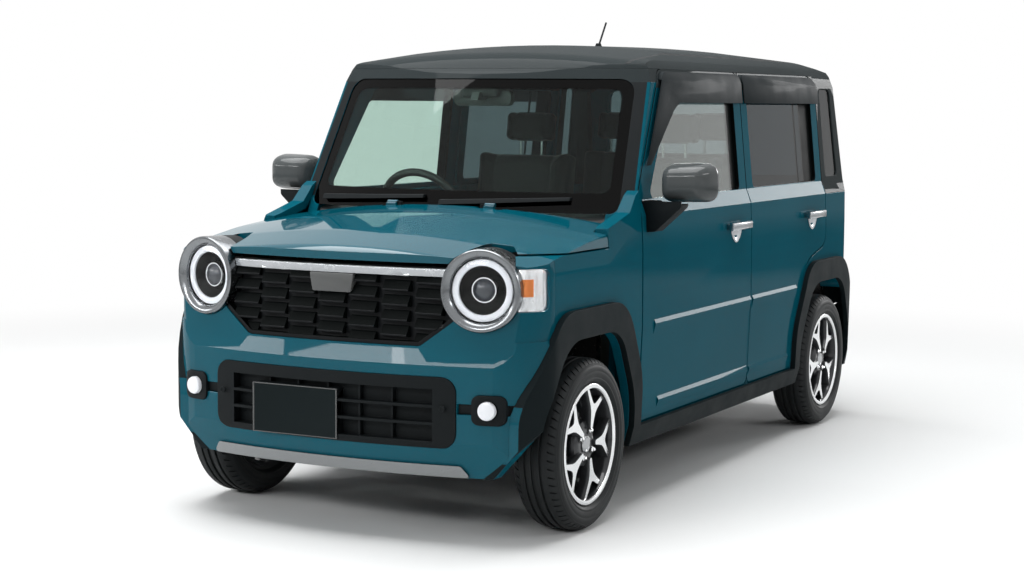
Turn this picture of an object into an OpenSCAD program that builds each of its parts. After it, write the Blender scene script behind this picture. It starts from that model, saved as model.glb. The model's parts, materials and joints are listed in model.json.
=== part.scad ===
// Kei car: a short, tall and upright five-door hatchback on small wheels.
// The front faces -Y, the left side is +X, and Z is height above the ground.

/* [Overall] */
// Length over the bumpers
car_length = 3395; // [3340:5:3450]
// Distance between the front and rear axles
wheelbase = 2460; // [2430:5:2490]
// Distance from the front of the bumper to the front axle
front_overhang = 515; // [500:5:530]
// Distance between the wheel centres across the car
track = 1290; // [1280:2:1300]
// Width of the body over the doors
body_width = 1428; // [1410:2:1446]
// Height of the roof at the top of its crown
roof_z = 1655; // [1640:1:1670]

/* [Body lines] */
// Height of the underside of the sills
sill_z = 225; // [215:1:235]
// Height of the bottom edge of the doors
door_bottom_z = 300; // [290:1:310]
// Height of the shoulder line under the windows
shoulder_z = 1030; // [1020:1:1040]
// Height of the bottom edge of the side windows
belt_z = 1085; // [1075:1:1095]
// Height of the top edge of the doors, where the roof begins
door_top_z = 1548; // [1540:1:1556]
// Height of the gap under the side edge of the bonnet
bonnet_gap_z = 940; // [930:1:950]
// Height of the rear edge of the bonnet at the middle
cowl_z = 1056; // [1050:1:1062]
// Gap around every panel that opens
panel_gap = 6; // [5:0.5:8]
// Clearance around glass and other seated pieces
seat_gap = 0.3; // [0.2:0.1:0.5]
// Thickness of a pressed outer panel with its inner frame
panel_t = 32; // [28:1:36]
// Thickness of the window glass
glass_t = 5; // [4:0.5:6]
// Depth of the side glass under the outer surface
glass_depth = 14; // [12:1:18]

/* [Wheels] */
// Outside diameter of the tyres
tyre_d = 579; // [569:1:589]
// Width of the tyres
tyre_w = 165; // [155:1:175]
// Diameter of the rim's outer edge
rim_d = 413; // [405:1:421]
// Width of the rim
rim_w = 140; // [130:1:150]
// Number of spokes, each split in two at the rim
spoke_count = 5; // [4:1:7]
// Diameter of the circle of wheel nuts
nut_pcd = 100; // [96:1:114.3]
// Radius of the axle stubs
axle_r = 17; // [15:0.5:19]
// Running clearance between an axle stub and its hub
axle_clearance = 0.05; // [0.03:0.01:0.1]

/* [Lamps and grilles] */
// Distance of each headlamp from the middle of the car
lamp_x = 530; // [520:1:540]
// Height of the headlamps
lamp_z = 830; // [822:1:838]
// Radius of the headlamp's bright rim
lamp_r = 133; // [128:1:138]
// Angle by which each headlamp turns outwards
lamp_yaw = 12; // [8:1:16]
// Height of the fog lamps
fog_z = 452; // [445:1:460]
// Distance of each fog lamp from the middle of the car
fog_x = 568; // [560:1:576]
// Number of louvre columns in the upper grille
louvre_columns = 7; // [5:1:9]
// Number of louvre rows in the upper grille
louvre_rows = 4; // [3:1:5]

/* [Cabin] */
// Distance of the steering wheel and driver from the middle, on the right
driver_x = 330; // [320:1:340]
// Diameter of the steering wheel
steering_d = 370; // [360:1:380]
// Width of each front seat
seat_w = 480; // [460:5:500]
// Height of the seat cushions
cushion_z = 660; // [640:5:680]

/* [Hidden] */
$fn = 48;
half_body = body_width / 2;
front_y = -car_length / 2;
rear_y = car_length / 2;
front_axle_y = front_y + front_overhang;
rear_axle_y = front_axle_y + wheelbase;
wheel_z = tyre_d / 2;
wheel_x = track / 2;

// Panel lines along the car
face_y = front_y + 6;
wing_seam_y = front_axle_y - 268;
bonnet_side_y = front_axle_y + 150;
door_front_y = front_axle_y + 437;
cowl_y = front_axle_y + 255;
pillar_y = (front_axle_y + rear_axle_y) / 2 + 293;
door_rear_y = rear_axle_y + 10;
tail_y = rear_y - 32;
hatch_hinge_y = rear_y - 205;
bumper_top_z = 905;
ledge_z = 638;
hatch_bottom_z = 600;

// Windscreen line at the middle of the car, from the cowl to the roof
screen_base = [front_axle_y + 277, cowl_z - 1];
screen_top = [front_axle_y + 527, roof_z - 145];
screen_lean = atan2(screen_top.x - screen_base.x, screen_top.y - screen_base.y);
screen_r = 2100;
front_r = 2400;
rear_r = 4500;
roof_crown_r = 5000;
bonnet_crown_r = 3700;

// Outlines
// A corner is [x, y, radius]; the outline runs through rounded corners.
function unit(v) = v / norm(v);
function turned(v, a) = [v.x * cos(a) - v.y * sin(a), v.x * sin(a) + v.y * cos(a)];
function corner(p0, p1, p2, r, steps) =
    let (a = unit(p0 - p1), b = unit(p2 - p1), bend = acos(a * b),
        centre = p1 + unit(a + b) * r / sin(bend / 2),
        first = p1 + a * r / tan(bend / 2) - centre,
        sweep = (180 - bend) * sign(cross(b, a)))
    [for (k = [0 : steps]) centre + turned(first, sweep * k / steps)];
function flat(c) = [c[0], c[1]];
function rounded(c, steps = 6) = let (n = len(c))
    [for (i = [0 : n - 1]) each
        (c[i][2] > 0
            ? corner(flat(c[(i + n - 1) % n]), flat(c[i]), flat(c[(i + 1) % n]), c[i][2], steps)
            : [flat(c[i])])];
function box_corners(lo, hi, r) = [[lo.x, lo.y, r], [hi.x, lo.y, r], [hi.x, hi.y, r], [lo.x, hi.y, r]];

// Extrudes a side view (y, z) across the car.
module across(x0, x1) {
    translate([x0, 0, 0]) rotate([90, 0, 90]) linear_extrude(x1 - x0) children();
}
// Extrudes a front view (x, z) along the car.
module along(y0, y1) {
    translate([0, y1, 0]) rotate([90, 0, 0]) linear_extrude(y1 - y0) children();
}
// Extrudes a plan view (x, y) upwards.
module upright(z0, z1) {
    translate([0, 0, z0]) linear_extrude(z1 - z0) children();
}
module on_side(s) {
    if (s > 0) children();
    else mirror([1, 0, 0]) children();
}
module both_sides() {
    children();
    mirror([1, 0, 0]) children();
}
module inset_by(d) {
    if (d == 0) children();
    else offset(delta = -d) children();
}

// Body surfaces. An inset d of 0 is the outer surface, and a negative one lies outside it.
// Columns: height, set-in from the widest point, thickness of the wall
side_sections = [
    [sill_z, 34, 70],
    [door_bottom_z, 14, 85],
    [640, 0, 90],
    [900, 2, 90],
    [shoulder_z, 8, 80],
    [belt_z, 28, 50],
    [roof_z - 155, 70, 45],
    [door_top_z, 88, 45],
    [door_top_z + 32, 112, 45],
    [door_top_z + 54, 150, 45],
    [roof_z + 30, 330, 45]];
function side_half(thick) = [for (s = side_sections) [half_body - s[1] - thick * s[2], s[0]]];
function mirrored(p) = concat(p, [for (i = [len(p) - 1 : -1 : 0]) [-p[i].x, p[i].y]]);
module side_section(d) {
    inset_by(d) polygon(mirrored(side_half(0)));
}
module cabin_section() {
    polygon(mirrored(side_half(1)));
}

// Cross-section of the nose, which has a soft shoulder under the bonnet.
nose_corners = [[half_body - 34, sill_z, 0], [half_body - 14, door_bottom_z, 0], [half_body, 640, 0],
    [half_body - 2, 880, 300], [half_body - 11, 982, 50], [half_body - 104, 1046, 140], [200, 1110, 0]];
module nose_section(d) {
    inset_by(d) polygon(mirrored(rounded(nose_corners)));
}

// A solid whose top is a roof line or bonnet line turned about a far lengthwise axis, for a crown.
module crowned(line, top_z, crown_r, d) {
    axis_z = top_z - crown_r;
    low = 60 - axis_z;
    spread = 2 * asin((half_body + 60) / low);
    corners = rounded([for (p = line) [p[1] - axis_z, p[0], p[2]]]);
    translate([0, 0, axis_z]) rotate([-90, 0, 0]) rotate([0, 0, 270 - spread / 2])
        rotate_extrude(angle = spread, $fn = 180)
            inset_by(d) polygon(concat(corners, [[low, line[len(line) - 1][0]], [low, line[0][0]]]));
}
// Columns: y, height, rounding
roof_line = [
    [screen_top.x - 300, roof_z - 330, 0],
    [screen_top.x + 27, roof_z - 116, 60],
    [screen_top.x + 110, roof_z - 50, 220],
    [screen_top.x + 500, roof_z - 8, 900],
    [rear_axle_y - 900, roof_z + 1, 2500],
    [rear_axle_y, roof_z - 18, 1200],
    [rear_y - 140, roof_z - 52, 0],
    [rear_y + 60, roof_z - 110, 0]];
bonnet_line = [
    [front_y - 60, bumper_top_z - 70, 0],
    [face_y + 50, bumper_top_z + 45, 110],
    [face_y + 240, cowl_z - 62, 500],
    [front_axle_y, cowl_z - 22, 1500],
    [cowl_y, cowl_z, 0],
    [cowl_y + 400, cowl_z + 12, 0]];

// Profiles of the nose and tail at the middle plane. Columns: height, set-in from the foremost or rearmost line
nose_profile = [[sill_z - 60, 52], [340, 0], [ledge_z - 50, 0], [ledge_z, 16], [bumper_top_z, 36],
    [cowl_z + 120, 62]];
tail_profile = [[sill_z - 60, 0], [840, 0], [1000, 4], [roof_z + 60, 97]];
// A solid bowed in plan, turned about a far upright axis from a profile.
module turned_face(profile, y, r, facing, d) {
    translate([0, y - facing * r, 0]) rotate_extrude($fn = 240)
        polygon(concat([[0, profile[0][0]]], [for (p = profile) [r - p[1] - d, p[0]]],
            [[0, profile[len(profile) - 1][0]]]));
}
// A large cylinder whose near side is a leaning, bowed face through a point of the middle plane.
module bowed(point, r, lean, facing, d) {
    translate([0, point.x, point.y]) rotate([-lean, 0, 0])
        translate([0, -facing * r, -3000]) cylinder(r = r - d, h = 6000, $fn = 240);
}
module nose_outline(out, r) {
    corner_y = front_y + 108;
    side_x = half_body + out;
    polygon(rounded([[-side_x, rear_y, 0], [-side_x, corner_y, r], [0, corner_y - side_x * tan(12), 0],
        [side_x, corner_y, r], [side_x, rear_y, 0]], 10));
}
module nose_plan(d) {
    upright(0, roof_z + 100) inset_by(d) nose_outline(3, 200);
}
module tail_plan(d, y = tail_y, r = 100) {
    corner_y = y - 56;
    upright(0, roof_z + 100) inset_by(d)
        polygon(rounded([[-half_body - 5, front_y, 0], [half_body + 5, front_y, 0], [half_body + 5, corner_y, r],
            [0, corner_y + half_body * tan(8.5), 0], [-half_body - 5, corner_y, r]], 8));
}
module nose_solid(d) {
    intersection() {
        along(front_y - 80, cowl_y + 330) nose_section(d);
        crowned(bonnet_line, cowl_z, bonnet_crown_r, d);
        turned_face(nose_profile, face_y, front_r, -1, d);
        nose_plan(d);
    }
}
// The front face alone, for pieces near the middle
module front_face(d) {
    turned_face(nose_profile, face_y, front_r, -1, d);
}
module front_corner(d) {
    intersection() {
        front_face(d);
        nose_plan(d);
    }
}
module cabin_solid(d) {
    intersection() {
        along(front_axle_y - 40, rear_y) side_section(d);
        bowed(screen_base, screen_r, screen_lean, -1, d);
        crowned(roof_line, roof_z, roof_crown_r, d);
        turned_face(tail_profile, tail_y, rear_r, 1, d);
        tail_plan(d);
    }
}
module cabin_space() {
    inner = 45;
    intersection() {
        along(front_axle_y - 40, rear_y) cabin_section();
        bowed(screen_base, screen_r, screen_lean, -1, inner);
        crowned(roof_line, roof_z, roof_crown_r, inner);
        turned_face(tail_profile, tail_y, rear_r, 1, 75);
        tail_plan(75);
    }
}

// Openings and panel outlines
// Wheel arches in side view: half width at the foot, half width at the top, height of the top
arch_inner = [352, 205, 655];
arch_outer = [414, 255, 752];
rear_arch_inner = [336, 205, 648];
rear_arch_outer = [396, 250, 742];
// Rounding of an arch at its shoulders and at its top corners
arch_r = [280, 165];
module arch(axle_y, a, grow = 0) {
    polygon(rounded([[axle_y - a[0] - grow, 60, 0], [axle_y + a[0] + grow, 60, 0],
        [axle_y + a[0] + grow, 0.62 * a[2], arch_r[0]], [axle_y + a[1] + grow, a[2] + grow, arch_r[1]],
        [axle_y - a[1] - grow, a[2] + grow, arch_r[1]], [axle_y - a[0] - grow, 0.62 * a[2], arch_r[0]]]));
}
module front_door_outline() {
    polygon(rounded([[door_front_y, door_bottom_z, 35], [pillar_y, door_bottom_z, 35],
        [pillar_y, door_top_z, 30], [screen_top.x + 200, door_top_z, 90], [door_front_y, belt_z + 8, 60]]));
}
rear_door_corners = [[pillar_y + panel_gap, door_bottom_z, 35],
    [rear_axle_y - rear_arch_outer[0] - panel_gap, door_bottom_z, 15],
    [rear_axle_y - rear_arch_outer[0] - panel_gap, 0.62 * rear_arch_outer[2], arch_r[0]],
    [rear_axle_y - rear_arch_outer[1] - panel_gap, rear_arch_outer[2] + panel_gap, arch_r[1]],
    [door_rear_y, rear_arch_outer[2] + 70, 60],
    [door_rear_y, door_top_z, 80],
    [pillar_y + panel_gap, door_top_z, 30]];
module rear_door_outline() {
    polygon(rounded(rear_door_corners));
}
window_top_z = door_top_z - 70;
module front_window(grow = 0) {
    offset(delta = grow)
        polygon(rounded([[door_front_y + 100, belt_z, 25], [pillar_y - 75, belt_z, 25],
            [pillar_y - 75, window_top_z, 25], [screen_top.x + 285, window_top_z, 60]]));
}
module rear_window(grow = 0) {
    offset(delta = grow)
        polygon(rounded(box_corners([pillar_y + 75, belt_z + 4], [door_rear_y - 75, window_top_z], 25)));
}
module quarter_window(grow = 0) {
    offset(delta = grow)
        polygon(rounded([[door_rear_y + 62, belt_z + 20, 20], [rear_y - 180, belt_z + 20, 20],
            [rear_y - 205, roof_z - 165, 25], [door_rear_y + 58, roof_z - 165, 20]]));
}
module tailgate_outline(grow = 0) {
    offset(delta = grow)
        polygon(rounded(box_corners([-560, hatch_bottom_z], [560, roof_z + 60], 40)));
}
module tailgate_window(grow = 0) {
    offset(delta = grow)
        polygon(rounded([[-500, belt_z + 10, 50], [500, belt_z + 10, 50], [470, roof_z - 170, 50],
            [-470, roof_z - 170, 50]]));
}
module bonnet_plan(grow = 0) {
    offset(delta = grow)
        polygon([[-half_body - 60, front_y - 80], [half_body + 60, front_y - 80],
            [half_body + 60, bonnet_side_y], [half_body - 64, bonnet_side_y], [half_body - 104, cowl_y + 54],
            [half_body - 400, cowl_y + 12], [0, cowl_y - 6], [400 - half_body, cowl_y + 12],
            [104 - half_body, cowl_y + 54], [64 - half_body, bonnet_side_y],
            [-half_body - 60, bonnet_side_y]]);
}
module bonnet_region(grow = 0) {
    intersection() {
        upright(bumper_top_z - 100, cowl_z + 200) bonnet_plan(grow);
        union() {
            translate([-half_body - 80, front_y - 100, bonnet_gap_z - grow]) cube([body_width + 160, 1500, 300]);
            translate([-lamp_x - grow, front_y - 100, bumper_top_z + panel_gap - grow])
                cube([2 * (lamp_x + grow), 500, 300]);
        }
    }
}

// Lamps
lamp_y = front_y + 92;
module at_lamp() {
    translate([lamp_x, lamp_y, lamp_z]) rotate([0, 0, lamp_yaw]) rotate([90, 0, 0]) children();
}
turn_lo = [front_y + 60, lamp_z - 65];
turn_hi = [front_y + 212, lamp_z + 70];
module turn_zone(grow) {
    across(lamp_x + 60, half_body + 40) offset(delta = grow) polygon(rounded(box_corners(turn_lo, turn_hi, 24)));
}
module lamp_hole(grow) {
    at_lamp() translate([0, 0, -190]) cylinder(r = lamp_r + grow, h = 360);
    turn_zone(grow);
}
grille_top_z = bumper_top_z - 6;
grille_bottom_z = 645;
module grille_outline(grow = 0) {
    offset(delta = grow)
        polygon(rounded([[-330, grille_bottom_z, 30], [330, grille_bottom_z, 30], [455, 740, 60],
            [455, grille_top_z, 0], [-455, grille_top_z, 0], [-455, 740, 60]]));
}
intake_lo = [-462, 322];
intake_hi = [462, 552];
module intake_outline(grow = 0) {
    offset(delta = grow) polygon(rounded(box_corners(intake_lo, intake_hi, 50)));
}
fog_size = [108, 96];
module fog_outline(grow = 0) {
    offset(delta = grow) translate([fog_x, fog_z])
        polygon(rounded(box_corners(-fog_size / 2, fog_size / 2, 24)));
}
module fog_channel(grow = 0) {
    offset(delta = grow) translate([intake_hi.x + 3, fog_z - 17])
        square([half_body - intake_hi.x - 28, 34]);
}

// Pin hinges across the car: a pin on a bracket, and an eye that turns on it
pin_r = 4;
eye_r = 8;
eye_l = 40;
module hinge_pin(x, y, z, foot_z) {
    for (s = [-1, 1]) on_side(s) {
        translate([x - eye_l / 2 - 18, y, z]) rotate([0, 90, 0]) cylinder(r = pin_r, h = eye_l + 18);
        translate([x - eye_l / 2 - 18, y - eye_r, foot_z]) cube([12, 2 * eye_r, z + pin_r - foot_z]);
    }
}
module hinge_eye(x, y, z, web_lo, web_hi) {
    for (s = [-1, 1]) on_side(s) difference() {
        union() {
            translate([x - eye_l / 2, y, z]) rotate([0, 90, 0]) cylinder(r = eye_r, h = eye_l);
            translate([x - eye_l / 2, web_lo.x, web_lo.y]) cube([eye_l, web_hi.x - web_lo.x, web_hi.y - web_lo.y]);
        }
        translate([x - eye_l, y, z]) rotate([0, 90, 0]) cylinder(r = pin_r + axle_clearance, h = 2 * eye_l);
    }
}
bonnet_hinge = [cowl_y - 4, cowl_z + 4];
bonnet_hinge_x = 200;
hatch_hinge = [hatch_hinge_y + 9, roof_z - 42];
hatch_hinge_x = 150;

// Outer panels
// Below its ledge the bumper stands out at the corners, flush with the arch cladding.
flare = 20;
flare_corners = [[half_body - 34, sill_z, 0], [half_body + flare - 12, 320, 60], [half_body + flare, ledge_z - 60, 40],
    [half_body - 2, ledge_z + 30, 0]];
module bumper_flare(d) {
    difference() {
        intersection() {
            along(front_y - 80, front_axle_y) inset_by(d) polygon(mirrored(rounded(flare_corners)));
            front_face(d);
            upright(0, roof_z) inset_by(d) nose_outline(flare, 230);
        }
        across(-half_body - 80, half_body + 80) arch(front_axle_y, arch_outer, 1 - d);
    }
}
module bumper_solid(d) {
    nose_solid(d);
    bumper_flare(d);
}
// The lower corners of the nose rise outwards, ahead of the wheels.
module nose_chamfer(d = 0) {
    along(front_y - 80, front_axle_y - 250) for (s = [0, 1]) mirror([s, 0]) offset(delta = d)
        polygon([[half_body - 182, sill_z - 40], [half_body + 46, sill_z + 211], [half_body + 286, sill_z + 211],
            [half_body + 286, sill_z - 40]]);
}
module front_bumper() {
    color("darkcyan") difference() {
        intersection() {
            bumper_solid(0);
            across(-half_body - 50, half_body + 50)
                polygon([[front_y - 50, sill_z], [wing_seam_y, sill_z], [wing_seam_y, bonnet_gap_z - panel_gap],
                    [front_y - 50, bonnet_gap_z - panel_gap]]);
        }
        nose_chamfer();
        difference() {
            nose_solid(panel_t);
            nose_chamfer(panel_t);
        }
        bonnet_region(panel_gap);
        along(front_y - 50, front_y + 300) {
            grille_outline();
            translate([-lamp_x, grille_top_z - 1]) square([2 * lamp_x, 40]);
            intake_outline();
            for (s = [0, 1]) mirror([s, 0]) {
                fog_outline();
                fog_channel();
            }
        }
        both_sides() lamp_hole(seat_gap);
        across(-half_body - 50, half_body + 50) arch(front_axle_y, arch_inner);
    }
}
// The rear part of each wing rises from the bonnet's corner to the foot of the windscreen pillar.
wing_in = 66;
module wing_ramp(grow = 0) {
    offset(delta = grow)
        polygon([[bonnet_side_y, sill_z], [door_front_y - panel_gap, sill_z], [door_front_y - panel_gap, belt_z + 34],
            [door_front_y - 36, belt_z + 18], [door_front_y - 96, cowl_z - 10], [bonnet_side_y, cowl_z - 58]]);
}
module front_wings() {
    color("darkcyan") both_sides() difference() {
        union() {
            intersection() {
                nose_solid(0);
                across(half_body - 110, half_body + 50)
                    polygon([[wing_seam_y + seat_gap, sill_z], [bonnet_side_y + 1, sill_z], [bonnet_side_y + 1, cowl_z],
                        [wing_seam_y + seat_gap, cowl_z]]);
            }
            intersection() {
                hull() {
                    along(bonnet_side_y, bonnet_side_y + 1) nose_section(0);
                    along(door_front_y - panel_gap - 1, door_front_y - panel_gap) side_section(1.4);
                }
                across(half_body - wing_in, half_body + 50) wing_ramp();
            }
        }
        intersection() {
            nose_solid(panel_t);
            translate([0, front_y, 0]) cube([half_body, bonnet_side_y - front_y, cowl_z]);
        }
        intersection() {
            along(bonnet_side_y - 1, door_front_y) side_section(panel_t);
            across(0, half_body) wing_ramp(-panel_t);
        }
        bonnet_region(panel_gap);
        across(0, half_body + 50) arch(front_axle_y, arch_inner);
    }
}
module bonnet() {
    color("darkcyan") difference() {
        intersection() {
            nose_solid(0);
            bonnet_region();
        }
        nose_solid(panel_t - 6);
        both_sides() lamp_hole(panel_gap);
        bowed(screen_base, screen_r, screen_lean, -1, -panel_gap);
        both_sides() translate([bonnet_hinge_x - 50, bonnet_hinge.x - 16, cowl_z - 100]) cube([100, 100, 200]);
    }
    color("darkcyan")
        hinge_eye(bonnet_hinge_x, bonnet_hinge.x, bonnet_hinge.y, bonnet_hinge - [17, 30], bonnet_hinge - [0, 2]);
}
module cowl() {
    color("black") difference() {
        intersection() {
            nose_solid(6);
            upright(cowl_z - 90, cowl_z + 60) translate([-half_body + wing_in + seat_gap, cowl_y - 60])
                square([body_width - 2 * (wing_in + seat_gap), 300]);
        }
        nose_solid(40);
        bonnet_region(panel_gap);
        bowed(screen_base, screen_r, screen_lean, -1, -seat_gap);
    }
    color("black") both_sides() translate([bonnet_hinge_x - eye_l / 2 - 18, bonnet_hinge.x - eye_r, cowl_z - 40])
        cube([12, 25, 24]);
    color("black") hinge_pin(bonnet_hinge_x, bonnet_hinge.x, bonnet_hinge.y, cowl_z - 40);
    wipers();
}
module roof_region(grow = 0) {
    across(-half_body - 80, half_body + 80) offset(delta = grow)
        polygon([[front_axle_y, door_top_z], [door_rear_y + panel_gap, door_top_z],
            [door_rear_y + panel_gap + 4, shoulder_z], [rear_y, shoulder_z], [rear_y, roof_z + 90],
            [front_axle_y, roof_z + 90]]);
}
module roof_panel() {
    color("dimgray") difference() {
        intersection() {
            cabin_solid(0);
            roof_region();
        }
        cabin_space();
        along(hatch_hinge_y, rear_y + 50) tailgate_outline(panel_gap);
        screen_cut(0);
        across(-half_body - 50, half_body + 50) quarter_window();
    }
    color("dimgray") intersection() {
        hinge_pin(hatch_hinge_x, hatch_hinge.x, hatch_hinge.y, roof_z - 66);
        translate([-half_body, hatch_hinge_y - 40, 0]) cube([body_width, 90, roof_z]);
    }
    color("dimgray") for (s = [-1, 1]) on_side(s)
        translate([hatch_hinge_x - eye_l / 2 - 18, hatch_hinge_y - 20, roof_z - 66]) cube([12, 22, 26]);
}
module screen_outline(grow = 0) {
    offset(delta = grow)
        polygon(rounded([[-half_body + 76, cowl_z - 20, 30], [half_body - 76, cowl_z - 20, 30],
            [half_body - 122, screen_top.y, 60], [122 - half_body, screen_top.y, 60]]));
}
module screen_cut(grow) {
    along(front_axle_y, screen_top.x + 250) screen_outline(grow);
}
module windscreen() {
    color([0.6, 0.75, 0.75, 0.4]) intersection() {
        difference() {
            bowed(screen_base, screen_r, screen_lean, -1, 4);
            bowed(screen_base, screen_r, screen_lean, -1, 4 + glass_t);
        }
        screen_cut(-seat_gap);
    }
}
module body_sides() {
    color("darkcyan") difference() {
        intersection() {
            cabin_solid(0);
            across(-half_body - 50, half_body + 50)
                polygon([[door_front_y - panel_gap - 80, sill_z], [rear_y, sill_z], [rear_y, door_top_z - seat_gap],
                    [front_axle_y, door_top_z - seat_gap], [front_axle_y + 200, cowl_z - 40],
                    [door_front_y - panel_gap - 80, cowl_z - 40]]);
        }
        cabin_space();
        roof_region(seat_gap);
        upright(0, floor_z + floor_t + 1) translate([-half_body + 90, front_y])
            square([body_width - 180, car_length]);
        for (kind = ["front", "rear"]) {
            difference() {
                across(-half_body - 50, half_body + 50) offset(delta = panel_gap) door_outline(kind);
                along(front_y, rear_y) side_section(panel_t + panel_gap);
            }
            across(-half_body - 50, half_body + 50) offset(delta = jamb_gap - frame_set_in) door_outline(kind);
        }
        across(-half_body - 50, half_body + 50) arch(rear_axle_y, rear_arch_inner);
        along(rear_axle_y + 150, rear_y + 50) tailgate_outline(panel_gap);
        along(tail_y - lamp_wrap - 1, rear_y + 50) tail_lamp_pair(1);
        across(-half_body - 50, half_body + 50) rear_bumper_zone(1);
        screen_cut(0);
        both_sides() front_wings_space();
        translate([118 - half_body, front_axle_y, 0]) cube([body_width - 236, 700, cowl_z + 30]);
    }
}
// The room that the front wings take in front of the doors.
module front_wings_space() {
    across(half_body - wing_in - 1, half_body + 50) wing_ramp(seat_gap);
    translate([half_body - wing_in - 1, front_axle_y - 100, 0]) cube([200, bonnet_side_y - front_axle_y + 101, cowl_z]);
}

// Doors: an outer skin, and an inner frame set in so that it swings clear of the pillar.
door_t = 84;
frame_set_in = 24;
jamb_gap = 12;
module door_layer(d0, d1) {
    difference() {
        along(front_y, rear_y) side_section(d0);
        along(front_y - 1, rear_y + 1) side_section(d1);
    }
}
// Raised feature lines along both doors. Columns: height, depth, height over which it fades up and down, start, end
door_lines = [[642, 7, 20, 45, door_front_y + 98, pillar_y + 550], [358, 7, 20, 30, door_front_y + 160, pillar_y + 480]];
module door_line(l) {
    base = half_body - (l[0] < 640 ? 14 * (640 - l[0]) / (640 - door_bottom_z) : 0);
    along(l[4], l[5]) polygon([[base - 3, l[0] - l[3] - 3], [base + l[1], l[0]], [base - 3, l[0] + l[2]]]);
}
module door(s, kind) {
    color("darkcyan") on_side(s) difference() {
        union() {
            intersection() {
                union() for (l = door_lines) door_line(l);
                across(0, half_body + 50) offset(delta = -8) door_outline(kind);
            }
            intersection() {
                door_layer(0, panel_t);
                across(0, half_body + 50) door_outline(kind);
            }
            intersection() {
                door_layer(panel_t - 1, door_t);
                across(0, half_body + 50) offset(delta = -frame_set_in) door_outline(kind);
                translate([-half_body, front_y, 0]) cube([body_width, car_length, belt_z - 20]);
            }
        }
        across(0, half_body + 50) door_window(kind);
    }
}
module door_outline(kind) {
    if (kind == "front") front_door_outline();
    else rear_door_outline();
}
module door_window(kind, grow = 0) {
    if (kind == "front") front_window(grow);
    else rear_window(grow);
}
module door_glass(s, kind) {
    color([0.5, 0.6, 0.6, 0.4]) on_side(s) intersection() {
        door_layer(glass_depth, glass_depth + glass_t);
        across(0, half_body + 50) door_window(kind, -seat_gap);
    }
}

// Rain visor over a door window, and the door handle
visor_out = 16;
visor_t = 5;
module visor_outline(kind) {
    difference() {
        offset(delta = -8) door_outline(kind);
        if (kind == "front")
            polygon([[door_front_y - 20, 0], [pillar_y + 20, 0], [pillar_y + 20, door_top_z - 122],
                [screen_top.x + 330, door_top_z - 122], [screen_top.x + 270, door_top_z - 150],
                [door_front_y + 110, belt_z + 120], [door_front_y - 20, belt_z + 120]]);
        else translate([pillar_y - 50, 0]) square([2000, door_top_z - 122]);
    }
}
handle_z = 948;
handle_l = 210;
function handle_y(kind) = kind == "front" ? pillar_y - 178 : door_rear_y - 195;
module door_trim(s, kind) {
    color("dimgray") on_side(s) {
        intersection() {
            door_layer(-visor_out, -visor_out + visor_t);
            across(0, half_body + 80) visor_outline(kind);
        }
        intersection() {
            door_layer(-visor_out + 0.5, 0);
            across(0, half_body + 80) intersection() {
                visor_outline(kind);
                translate([front_y, door_top_z - 40]) square([car_length, 40]);
            }
        }
        if (kind == "front") door_mirror();
    }
    color("silver") on_side(s) door_handle(kind);
}
module door_handle(kind) {
    translate([half_body, handle_y(kind), handle_z]) {
        translate([12, 0, 0]) rotate([90, 0, 0]) translate([0, 0, -handle_l / 2])
            linear_extrude(handle_l) polygon(rounded(box_corners([0, -15], [18, 15], 7)));
    }
    difference() {
        for (end = [-1, 1]) translate([half_body - 12, handle_y(kind) + end * (handle_l / 2 - 26) - 16, handle_z - 11])
            cube([30, 32, 22]);
        along(front_y, rear_y) side_section(0);
    }
}

// Door mirrors
mirror_y = door_front_y + 105;
mirror_x = half_body + 112;
mirror_z = 1138;
module door_mirror() {
    translate([mirror_x, mirror_y, mirror_z]) difference() {
        intersection() {
            rotate([90, 0, 0]) translate([0, 0, -60]) linear_extrude(140)
                polygon(rounded([[-100, -68, 35], [96, -62, 40], [108, 40, 45], [60, 74, 60], [-104, 62, 50]]));
            translate([0, 330, 0]) cylinder(r = 400, h = 400, center = true, $fn = 96);
            translate([0, 260, -60]) rotate([0, 90, 0]) cylinder(r = 350, h = 400, center = true, $fn = 96);
        }
        translate([0, 62, 0]) rotate([90, 0, 0]) linear_extrude(14, center = true)
            polygon(rounded([[-88, -56, 28], [84, -50, 30], [94, 34, 34], [54, 60, 45], [-90, 50, 38]]));
    }
    difference() {
        translate([half_body - 6, mirror_y - 40, 0]) rotate([90, 0, 0]) linear_extrude(70, center = true)
            polygon(rounded([[-34, 968, 10], [34, 975, 12], [130, 1062, 20], [130, 1082, 0], [-34, 1082, 0]]));
        along(front_y, rear_y) side_section(0);
    }
}

// Front end
module front_grille() {
    back = 30;
    color("black") difference() {
        union() {
            intersection() {
                along(front_y - 40, front_y + 300) grille_outline(-seat_gap);
                difference() {
                    front_face(back);
                    front_face(back + 12);
                }
            }
            intersection() {
                along(front_y - 40, front_y + 300) difference() {
                    grille_outline(-seat_gap);
                    grille_outline(-14);
                }
                difference() {
                    front_face(4);
                    front_face(back + 1);
                }
            }
            intersection() {
                along(front_y - 40, front_y + 300) difference() {
                    translate([-450, grille_top_z - 30]) square([900, 29]);
                    translate([-450, grille_top_z - 30 + 23]) square([900, 3]);
                }
                difference() {
                    front_face(2);
                    front_face(back + 1);
                }
            }
            louvres(back);
        }
        both_sides() lamp_hole(2.6);
    }
}
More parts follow.
